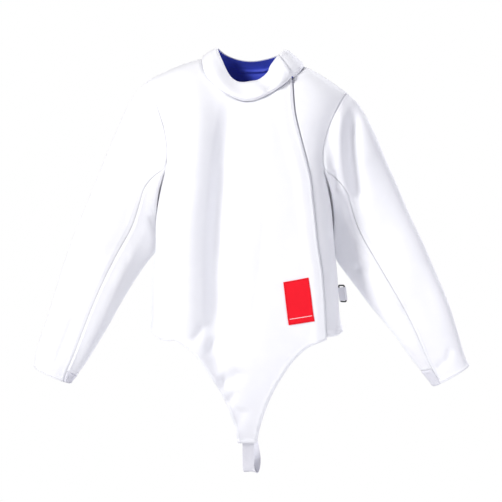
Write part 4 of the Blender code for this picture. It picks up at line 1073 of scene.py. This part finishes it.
def sleeve_pieces(side, cloth, stretch):
    """A sleeve's outer part, its inner part and the stretch insert at the wrist."""
    hand = 1 if side == "left" else -1
    surface = sleeve(side)
    gap = SEAM_GAP / 2 / SLEEVE_SEAM_REACH
    band = CUFF_END - CUFF_BAND
    cuff_rise = lambda u, v: HEM_RISE * (v > band + HEM_STEP / 2)
    front, behind = seam_lines(0, CUFF_END, -gap)
    behind = behind - (2 * math.pi, 0)
    bands = []
    for at in (band, band + HEM_STEP):
        reach = seam_around(at) - 3 * gap
        bands.append([(-reach, at), (reach, at)])
    edges = ((run(behind[0], front[0], 60), FINE_STEP), (front, EDGE_STEP),
             (run(front[-1], behind[-1]), FINE_STEP), (behind[::-1], EDGE_STEP))
    made = {}
    made[f"sleeve_upper_{side}"] = cut_piece(f"sleeve_upper_{side}", surface, edges, WALL, cloth, SLEEVE_SCALE, bands=bands, rise=cuff_rise,
              sign=hand, dip=SLEEVE_SEAM_DIP)
    front, behind = seam_lines(0, INSERT_TOP - SEAM_GAP / 2, gap)
    edges = ((run(front[0], behind[0], 40), FINE_STEP), (behind, EDGE_STEP),
             (run(behind[-1], front[-1]), FINE_STEP), (front[::-1], EDGE_STEP))
    made[f"sleeve_under_{side}"] = cut_piece(f"sleeve_under_{side}", surface, edges, WALL, cloth, SLEEVE_SCALE, sign=hand,
              dip=SLEEVE_SEAM_DIP)
    front, behind = seam_lines(INSERT_TOP + SEAM_GAP / 2, CUFF_END, gap)
    edges = [(line, FINE_STEP) for line in (run(front[0], behind[0]), behind, run(behind[-1], front[-1]),
                                            front[::-1])]
    made[f"cuff_elastic_{side}"] = cut_piece(f"cuff_elastic_{side}", surface, edges, WALL, stretch, SLEEVE_SCALE, sign=hand,
              folds=None)
    return made


def collar_pieces(cloth, lining):
    """The stand collar in one strip, and the lining inside it."""
    def strip(*corners):
        places = [(math.radians(turn), rise) for turn, rise in corners]
        return [(run(a, b, 80), COLLAR_STEP) for a, b in zip(places, places[1:] + places[:1])]

    def in_front(degrees):
        return ease(np.cos(np.radians(degrees)), 0.0, 0.7)

    band = strip((COLLAR_TAB_END, 0), (UNDER_NOTCH_FROM, 0), (UNDER_NOTCH_FROM, UNDER_NOTCH_RISE),
                 (COLLAR_UNDER_END, UNDER_NOTCH_RISE), (COLLAR_UNDER_END, 1), (COLLAR_TAB_END, 1))
    foot = band[0][0]
    behind, ahead = FOOT_OVER
    foot[:, 1] = -behind - (ahead - behind) * in_front(np.degrees(foot[:, 0]))
    made = {}
    made["collar_band"] = cut_piece("collar_band", collar, band, COLLAR_WALL, cloth, COLLAR_SCALE, lift=collar_lift,
                                    folds=COLLAR_FOLDS)
    depth = (COLLAR_WALL + LINING_WALL) / 2 + LAID_GAP
    start, end = COLLAR_TAB_END - 363, COLLAR_TAB_END - 720
    inner = strip((start, LINING_FOOT), (end, LINING_FOOT), (end, LINING_RIM), (start, LINING_RIM))

    def at_back(turn):
        return ease(-np.cos(turn), 0.45, 0.75)

    foot = inner[0][0]
    foot[:, 1] += (LINING_BACK_FOOT - LINING_FOOT) * at_back(foot[:, 0])

    def inwards(turn, rise):
        return -depth - LINING_BACK_DEPTH * at_back(turn) * (1 - ease(rise, 0.0, 0.25))

    folds = {name: np.concatenate([COLLAR_FOLDS[name], LINING_FOLDS[name]]) for name in COLLAR_FOLDS}
    made["collar_lining"] = cut_piece("collar_lining", collar, inner, LINING_WALL, lining, COLLAR_SCALE,
                                      step=0.0024, seams=False, stitch=None, folds=folds, lift=inwards)
    return made


def lean(points):
    """The side loop's points turned round Y by its lean."""
    origin = np.array([LOOP_OUT, 0, LOOP_HEIGHT])
    c, s = math.cos(LOOP_LEAN), math.sin(LOOP_LEAN)
    rel = np.asarray(points, float) - origin
    return origin + np.stack([rel[:, 0] * c - rel[:, 2] * s, rel[:, 1], rel[:, 0] * s + rel[:, 2] * c], -1)


def side_strap(webbing):
    """Webbing folded round the buckle's bar, its two ends sewn together at the wearer's left side."""
    wall = body(np.array(math.pi / 2), np.array(LOOP_HEIGHT))[0] + WALL / 2 + LOOP_FROM_WALL
    fold = BAR_RADIUS + SEAM_GAP + WEB_WALL / 2
    close = (WEB_WALL + SEAM_GAP) / 2
    bend = np.radians(np.linspace(-125, 125, 11))
    middle = [(wall, -close), (LOOP_OUT - 2.4 * fold, -close)]
    middle += [(LOOP_OUT + fold * math.cos(a), fold * math.sin(a)) for a in bend]
    middle = np.array(middle + [(LOOP_OUT - 2.4 * fold, close), (wall, close)])
    way = np.gradient(middle, axis=0)
    out = np.stack([way[:, 1], -way[:, 0]], -1) / np.linalg.norm(way, axis=1, keepdims=True)
    count = len(middle)
    points = []
    for end in (-LOOP_WIDTH / 2, LOOP_WIDTH / 2):
        for face in (-WEB_WALL / 2, WEB_WALL / 2):
            points += [(x, y, LOOP_HEIGHT + end) for x, y in middle + out * face]
    faces = [(0, count, 3 * count, 2 * count), tuple(k * count + count - 1 for k in (0, 1, 3, 2))]
    for k in range(count - 1):
        for a, b in ((0, 1), (1, 3), (3, 2), (2, 0)):
            faces.append((a * count + k, a * count + k + 1, b * count + k + 1, b * count + k))
    return add_solid("side_strap", lean(points), faces, webbing)


def side_buckle(plastic, sides=14):
    """The buckle's ring, one bar in the webbing's fold and the other turned back towards the body."""
    away = np.array([math.cos(BUCKLE_TURN), math.sin(BUCKLE_TURN), 0])
    up = np.array([0, 0, 1.0])
    centre = np.array([LOOP_OUT, 0, LOOP_HEIGHT]) + away * BUCKLE_REACH / 2
    half_reach, half_height = BUCKLE_REACH / 2 - BUCKLE_CORNER, BUCKLE_HEIGHT / 2 - BAR_RADIUS - BUCKLE_CORNER
    points = []
    for quarter, (right, high) in enumerate(((1, 1), (-1, 1), (-1, -1), (1, -1))):
        for turn in np.radians(np.linspace(0, 90, 4)) + quarter * math.pi / 2:
            out = away * math.cos(turn) + up * math.sin(turn)
            bar = centre + away * half_reach * right + up * half_height * high + out * BUCKLE_CORNER
            for around in np.radians(np.arange(0, 360, 360 / sides)):
                aside = np.cross(away, up) * math.sin(around)
                points.append(bar + BAR_RADIUS * (out * math.cos(around) + aside))
    count = len(points) // sides
    faces = []
    for k in range(count):
        for a in range(sides):
            b, ahead = (a + 1) % sides, (k + 1) % count
            faces.append((k * sides + a, k * sides + b, ahead * sides + b, ahead * sides + a))
    return add_solid("side_buckle", lean(points), faces, plastic)


def stitch_tree(thread):
    """Geometry Nodes that lay stitches along seam lines, with the sizes as inputs."""
    tree = bpy.data.node_groups.new("stitches along seams", "GeometryNodeTree")
    face = tree.interface
    face.new_socket(name="Geometry", in_out="INPUT", socket_type="NodeSocketGeometry")
    for name, value in (("Pitch", STITCH_PITCH), ("Length", STITCH_LENGTH), ("Radius", THREAD_RADIUS)):
        face.new_socket(name=name, in_out="INPUT", socket_type="NodeSocketFloat").default_value = value
    face.new_socket(name="Geometry", in_out="OUTPUT", socket_type="NodeSocketGeometry")
    add, link = tree.nodes.new, tree.links.new
    source, end = add("NodeGroupInput"), add("NodeGroupOutput")
    curve, even, place = add("GeometryNodeMeshToCurve"), add("GeometryNodeResampleCurve"), add("GeometryNodeInstanceOnPoints")
    tangent, align = add("GeometryNodeInputTangent"), add("FunctionNodeAlignRotationToVector")
    stitch, real, paint = add("GeometryNodeMeshCylinder"), add("GeometryNodeRealizeInstances"), add("GeometryNodeSetMaterial")
    even.mode = "LENGTH"
    align.axis = "Z"
    stitch.fill_type = "TRIANGLE_FAN"
    stitch.inputs["Vertices"].default_value = 6
    link(source.outputs["Geometry"], curve.inputs["Mesh"])
    link(curve.outputs["Curve"], even.inputs["Curve"])
    link(source.outputs["Pitch"], even.inputs["Length"])
    link(even.outputs["Curve"], place.inputs["Points"])
    link(tangent.outputs["Tangent"], align.inputs["Vector"])
    link(align.outputs["Rotation"], place.inputs["Rotation"])
    link(source.outputs["Radius"], stitch.inputs["Radius"])
    link(source.outputs["Length"], stitch.inputs["Depth"])
    link(stitch.outputs["Mesh"], place.inputs["Instance"])
    link(place.outputs["Instances"], real.inputs["Geometry"])
    link(real.outputs["Geometry"], paint.inputs["Geometry"])
    paint.inputs["Material"].default_value = thread
    link(paint.outputs["Geometry"], end.inputs["Geometry"])
    return tree


def stitching(name, runs, thread):
    """All the stitches along these runs of points, as one plain mesh."""
    points, joins = [], []
    for row, keep in runs:
        first = len(points)
        points += row.tolist()
        count = len(row)
        joins += [(first + k, first + (k + 1) % count) for k in range(count)
                  if keep[k] and keep[(k + 1) % count] and np.linalg.norm(row[k] - row[(k + 1) % count]) < 0.006]
    mesh = bpy.data.meshes.new(name + "_path")
    mesh.from_pydata(points, joins, [])
    path = bpy.data.objects.new(name + "_path", mesh)
    bpy.context.scene.collection.objects.link(path)
    tool = path.modifiers.new("stitches", "NODES")
    tool.node_group = stitch_tree(thread)
    plain = bpy.data.meshes.new_from_object(path.evaluated_get(bpy.context.evaluated_depsgraph_get()))
    path.modifiers.remove(tool)
    bpy.data.objects.remove(path)
    plain.name = name
    plain.shade_smooth()
    made = bpy.data.objects.new(name, plain)
    bpy.context.scene.collection.objects.link(made)
    return made


def weave_group():
    """Woven threads from flat cloth coordinates: a height for bump and a shade for colour."""
    tree = bpy.data.node_groups.new("woven threads", "ShaderNodeTree")
    face = tree.interface
    face.new_socket(name="Flat", in_out="INPUT", socket_type="NodeSocketVector")
    for name, value in (("Threads per metre", 1100.0), ("Slub", 0.25), ("Mottle size", 28.0)):
        face.new_socket(name=name, in_out="INPUT", socket_type="NodeSocketFloat").default_value = value
    for name in ("Height", "Shade"):
        face.new_socket(name=name, in_out="OUTPUT", socket_type="NodeSocketFloat")
    add, link = tree.nodes.new, tree.links.new
    source, end = add("NodeGroupInput"), add("NodeGroupOutput")

    def maths(operation, *values):
        node = add("ShaderNodeMath")
        node.operation = operation
        for socket, value in zip(node.inputs, values):
            if isinstance(value, (int, float)):
                socket.default_value = value
            else:
                link(value, socket)
        return node.outputs[0]

    scaled = add("ShaderNodeVectorMath")
    scaled.operation = "SCALE"
    link(source.outputs["Flat"], scaled.inputs[0])
    link(source.outputs["Threads per metre"], scaled.inputs["Scale"])
    split = add("ShaderNodeSeparateXYZ")
    link(scaled.outputs[0], split.inputs[0])
    warp = maths("ABSOLUTE", maths("SINE", maths("MULTIPLY", split.outputs[0], math.pi)))
    weft = maths("ABSOLUTE", maths("SINE", maths("MULTIPLY", split.outputs[1], math.pi)))
    twill = maths("SINE", maths("MULTIPLY", maths("ADD", split.outputs[0], split.outputs[1]), math.pi))
    threads = maths("ADD", maths("MULTIPLY", warp, maths("ADD", maths("MULTIPLY", twill, 0.35), 0.5)),
                    maths("MULTIPLY", weft, maths("ADD", maths("MULTIPLY", twill, -0.35), 0.5)))
    slub = add("ShaderNodeTexNoise")
    slub.inputs["Scale"].default_value = 260.0
    slub.inputs["Detail"].default_value = 3.0
    link(source.outputs["Flat"], slub.inputs["Vector"])
    link(maths("ADD", threads, maths("MULTIPLY", slub.outputs["Fac"], source.outputs["Slub"])), end.inputs["Height"])
    mottle = add("ShaderNodeTexNoise")
    mottle.inputs["Detail"].default_value = 4.0
    link(source.outputs["Flat"], mottle.inputs["Vector"])
    link(source.outputs["Mottle size"], mottle.inputs["Scale"])
    link(maths("ADD", maths("MULTIPLY", mottle.outputs["Fac"], 0.7), maths("MULTIPLY", threads, 0.3)), end.inputs["Shade"])
    return tree


def woven_finish(name, light, dark, roughness, threads, relief, sheen, group, mottle=28.0, slub=0.25):
    """A cloth's finish: woven threads in its bump and its colour, and a sheen of fine fibres."""
    made = bpy.data.materials.new(name)
    made.use_nodes = True
    tree = made.node_tree
    shader = tree.nodes["Principled BSDF"]
    shader.inputs["Roughness"].default_value = roughness
    shader.inputs["Sheen Weight"].default_value = sheen
    shader.inputs["Sheen Roughness"].default_value = 0.45
    shader.inputs["Specular IOR Level"].default_value = 0.25
    flat = tree.nodes.new("ShaderNodeUVMap")
    flat.uv_map = "flat"
    weave = tree.nodes.new("ShaderNodeGroup")
    weave.node_tree = group
    weave.inputs["Threads per metre"].default_value = threads
    weave.inputs["Slub"].default_value = slub
    weave.inputs["Mottle size"].default_value = mottle
    tree.links.new(flat.outputs["UV"], weave.inputs["Flat"])
    mix = tree.nodes.new("ShaderNodeMix")
    mix.data_type = "RGBA"
    mix.inputs["A"].default_value = (*dark, 1)
    mix.inputs["B"].default_value = (*light, 1)
    tree.links.new(weave.outputs["Shade"], mix.inputs["Factor"])
    tree.links.new(mix.outputs["Result"], shader.inputs["Base Color"])
    bump = tree.nodes.new("ShaderNodeBump")
    bump.inputs["Strength"].default_value = 1.0
    bump.inputs["Distance"].default_value = relief
    tree.links.new(weave.outputs["Height"], bump.inputs["Height"])
    tree.links.new(bump.outputs["Normal"], shader.inputs["Normal"])
    return made


def label_finish(group):
    """Red woven cloth with one pale line across its foot. It has no words or mark."""
    made = woven_finish("red label cloth", (0.93, 0.003, 0.020), (0.78, 0.002, 0.012), 0.7, 1500.0, 0.0001, 0.0, group)
    tree = made.node_tree
    shader = tree.nodes["Principled BSDF"]
    weave_colour = shader.inputs["Base Color"].links[0].from_socket
    place = tree.nodes.new("ShaderNodeUVMap")
    place.uv_map = "label"
    split = tree.nodes.new("ShaderNodeSeparateXYZ")
    tree.links.new(place.outputs["UV"], split.inputs[0])

    def maths(operation, *values):
        node = tree.nodes.new("ShaderNodeMath")
        node.operation = operation
        for socket, value in zip(node.inputs, values):
            if isinstance(value, (int, float)):
                socket.default_value = value
            else:
                tree.links.new(value, socket)
        return node.outputs[0]

    near_line = maths("LESS_THAN", maths("ABSOLUTE", maths("SUBTRACT", split.outputs[1], LABEL_LINE_HEIGHT)), LABEL_LINE_HALF)
    within = maths("LESS_THAN", maths("ABSOLUTE", maths("SUBTRACT", split.outputs[0], 0.5)), LABEL_LINE_REACH)
    line = tree.nodes.new("ShaderNodeMix")
    line.data_type = "RGBA"
    tree.links.new(maths("MULTIPLY", near_line, within), line.inputs["Factor"])
    tree.links.new(weave_colour, line.inputs["A"])
    line.inputs["B"].default_value = (0.85, 0.62, 0.62, 1)
    tree.links.new(line.outputs["Result"], shader.inputs["Base Color"])
    return made


def place_label_map(made):
    """A second UV map on the label, 0 to 1 across it and up it."""
    corners = np.array([front_place(*corner) for corner in LABEL_CORNERS]) * BODY_SCALE
    top, foot, foot_far = corners[0], corners[1], corners[2]
    flat = made.data.uv_layers["flat"]
    spots = np.zeros(len(flat.data) * 2)
    flat.data.foreach_get("uv", spots)
    from_foot = spots.reshape(-1, 2) - foot
    axes = np.stack([foot_far - foot, top - foot], -1)
    shares = np.linalg.solve(axes, from_foot.T).T
    layer = made.data.uv_layers.new(name="label")
    layer.data.foreach_set("uv", shares.astype(np.float32).ravel())


def plastic_finish():
    """Black moulded plastic with a fine grain."""
    made = bpy.data.materials.new("black buckle plastic")
    made.use_nodes = True
    tree = made.node_tree
    shader = tree.nodes["Principled BSDF"]
    shader.inputs["Base Color"].default_value = (0.012, 0.012, 0.014, 1)
    place = tree.nodes.new("ShaderNodeTexCoord")
    grain = tree.nodes.new("ShaderNodeTexNoise")
    grain.inputs["Scale"].default_value = 1400.0
    tree.links.new(place.outputs["Object"], grain.inputs["Vector"])
    spread = tree.nodes.new("ShaderNodeMapRange")
    spread.inputs["To Min"].default_value = 0.28
    spread.inputs["To Max"].default_value = 0.46
    tree.links.new(grain.outputs["Fac"], spread.inputs["Value"])
    tree.links.new(spread.outputs["Result"], shader.inputs["Roughness"])
    bump = tree.nodes.new("ShaderNodeBump")
    bump.inputs["Distance"].default_value = 0.00004
    tree.links.new(grain.outputs["Fac"], bump.inputs["Height"])
    tree.links.new(bump.outputs["Normal"], shader.inputs["Normal"])
    return made


def area_light(name, place, target, size, power, colour):
    data = bpy.data.lights.new(name, "AREA")
    data.shape = "RECTANGLE"
    data.size, data.size_y = size
    data.energy = power
    data.color = colour
    made = bpy.data.objects.new(name, data)
    made.location = place
    made.rotation_euler = (Vector(target) - Vector(place)).to_track_quat("-Z", "Y").to_euler()
    bpy.context.scene.collection.objects.link(made)


def studio():
    """A white floor and surround, soft light from the upper left, and the camera of the photograph."""
    white = bpy.data.materials.new("pale floor")
    white.use_nodes = True
    tree = white.node_tree
    shader = tree.nodes["Principled BSDF"]
    shader.inputs["Base Color"].default_value = (0.8, 0.8, 0.82, 1)
    shader.inputs["Roughness"].default_value = 0.9
    glow, path, mix = (tree.nodes.new(kind) for kind in ("ShaderNodeEmission", "ShaderNodeLightPath", "ShaderNodeMixShader"))
    tree.links.new(path.outputs["Is Camera Ray"], mix.inputs["Fac"])
    tree.links.new(shader.outputs["BSDF"], mix.inputs[1])
    tree.links.new(glow.outputs["Emission"], mix.inputs[2])
    tree.links.new(mix.outputs["Shader"], tree.nodes["Material Output"].inputs["Surface"])
    glow.inputs["Strength"].default_value = SURROUND_GLOW
    bpy.ops.mesh.primitive_grid_add(x_subdivisions=4, y_subdivisions=4, size=60, location=(0, 0, FLOOR_LEVEL))
    floor = bpy.context.object
    floor.name = "floor"
    floor.data.materials.append(white)
    world = bpy.data.worlds.new("pale surround")
    bpy.context.scene.world = world
    world.use_nodes = True
    nodes, links = world.node_tree.nodes, world.node_tree.links
    ground = nodes["Background"]
    ground.inputs["Color"].default_value = (*FILL_COLOUR, 1)
    ground.inputs["Strength"].default_value = FILL_STRENGTH
    seen, path, mix = nodes.new("ShaderNodeBackground"), nodes.new("ShaderNodeLightPath"), nodes.new("ShaderNodeMixShader")
    seen.inputs["Strength"].default_value = SURROUND_GLOW
    seen.inputs["Color"].default_value = (1, 1, 1, 1)
    links.new(path.outputs["Is Camera Ray"], mix.inputs["Fac"])
    links.new(ground.outputs["Background"], mix.inputs[1])
    links.new(seen.outputs["Background"], mix.inputs[2])
    links.new(mix.outputs["Shader"], nodes["World Output"].inputs["Surface"])
    for name, place, size, power, colour in LIGHTS:
        area_light(name, place, JACKET_MIDDLE, size, power, colour)
    camera = bpy.data.objects.new("camera", bpy.data.cameras.new("camera"))
    camera.data.lens, camera.data.sensor_width = 105, 36
    camera.location = CAMERA_PLACE
    camera.rotation_euler = (math.radians(90 - CAMERA_DOWN), 0, 0)
    bpy.context.scene.collection.objects.link(camera)
    bpy.context.scene.camera = camera
    bpy.context.scene.view_settings.view_transform = "Standard"


JACKET_MIDDLE = (0.0, 0.0, -0.40)
CAMERA_PLACE = (0.0088, -3.20336, -0.07261)
CAMERA_DOWN = 6
FLOOR_LEVEL = -1.9
SURROUND_GLOW = 1.0
FILL_COLOUR = (0.88, 0.87, 1.0)
FILL_STRENGTH = 0.19
LIGHTS = (
    ("key light", (-3.15, -3.05, 2.2), (1.0, 1.0), 244.0, (1.0, 0.99, 0.97)),
    ("right light", (3.4, -2.0, 0.3), (1.8, 1.8), 54.0, (0.95, 0.95, 1.0)),
    ("low light", (0.2, -2.8, -1.75), (2.0, 1.0), 15.0, (0.97, 0.97, 1.0)),
    ("back light", (2.9, 3.1, 1.8), (1.4, 1.4), 190.0, (0.98, 0.98, 1.0)),
)
LABEL_LINE_HEIGHT = 0.135
LABEL_LINE_HALF = 0.008
LABEL_LINE_REACH = 0.43


def build():
    weave = weave_group()
    cloth = woven_finish("white jacket cloth", (0.90, 0.905, 0.93), (0.84, 0.845, 0.885), 0.72, 900.0, 0.00014, 0.25, weave)
    stretch = woven_finish("white stretch cloth", (0.80, 0.80, 0.85), (0.70, 0.70, 0.77), 0.8, 1200.0, 0.0002, 0.2, weave)
    lining = woven_finish("blue lining", (0.062, 0.100, 0.74), (0.026, 0.044, 0.40), 0.42, 1600.0, 0.0001, 0.1, weave,
                          mottle=60.0)
    webbing = woven_finish("white webbing", (0.80, 0.80, 0.84), (0.66, 0.66, 0.72), 0.7, 700.0, 0.0003, 0.2, weave)
    thread = woven_finish("white thread", (0.88, 0.885, 0.91), (0.80, 0.805, 0.85), 0.6, 3000.0, 0.00005, 0.2, weave)
    red_thread = woven_finish("red thread", (0.62, 0.004, 0.014), (0.50, 0.003, 0.010), 0.6, 3000.0, 0.00005, 0.0, weave)
    red = label_finish(weave)
    plastic = plastic_finish()
    both = (cloth, lining)
    pieces = {
        "front_main": (front_main(both), "jacket_cloth"),
        "front_left": (front_left(both), "jacket_cloth"),
        "back": (back(both), "jacket_cloth"),
        "back_neck_lining": (back_neck_lining((lining,)), "lining"),
        "label": (label((red,)), "label_cloth"),
    }
    label_run = [STITCH_RUNS.pop()]
    for side in SLEEVES:
        for node, made in sleeve_pieces(side, both, (stretch, lining)).items():
            pieces[node] = (made, "stretch_cloth" if node.startswith("cuff") else "jacket_cloth")
    for node, made in collar_pieces(both, (lining,)).items():
        pieces[node] = (made, "lining" if node == "collar_lining" else "jacket_cloth")
    place_label_map(pieces["label"][0])
    pieces["crotch_strap"] = (strap_piece("crotch_strap", STRAP, np.array([1.0, 0, 0]), STRAP_WIDTH, WEB_WALL,
                                          webbing, 260), "webbing")
    pieces["side_strap"] = (side_strap(webbing), "webbing")
    pieces["side_buckle"] = (side_buckle(plastic), "black_plastic")
    threads = stitching("seam_stitching", STITCH_RUNS, thread)
    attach(threads, "root")
    label_threads = stitching("label_stitching", label_run, red_thread)
    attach(label_threads, "root")
    for node, (made, slot) in pieces.items():
        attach(made, "root")
        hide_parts(node)
    return pieces


build()
studio()
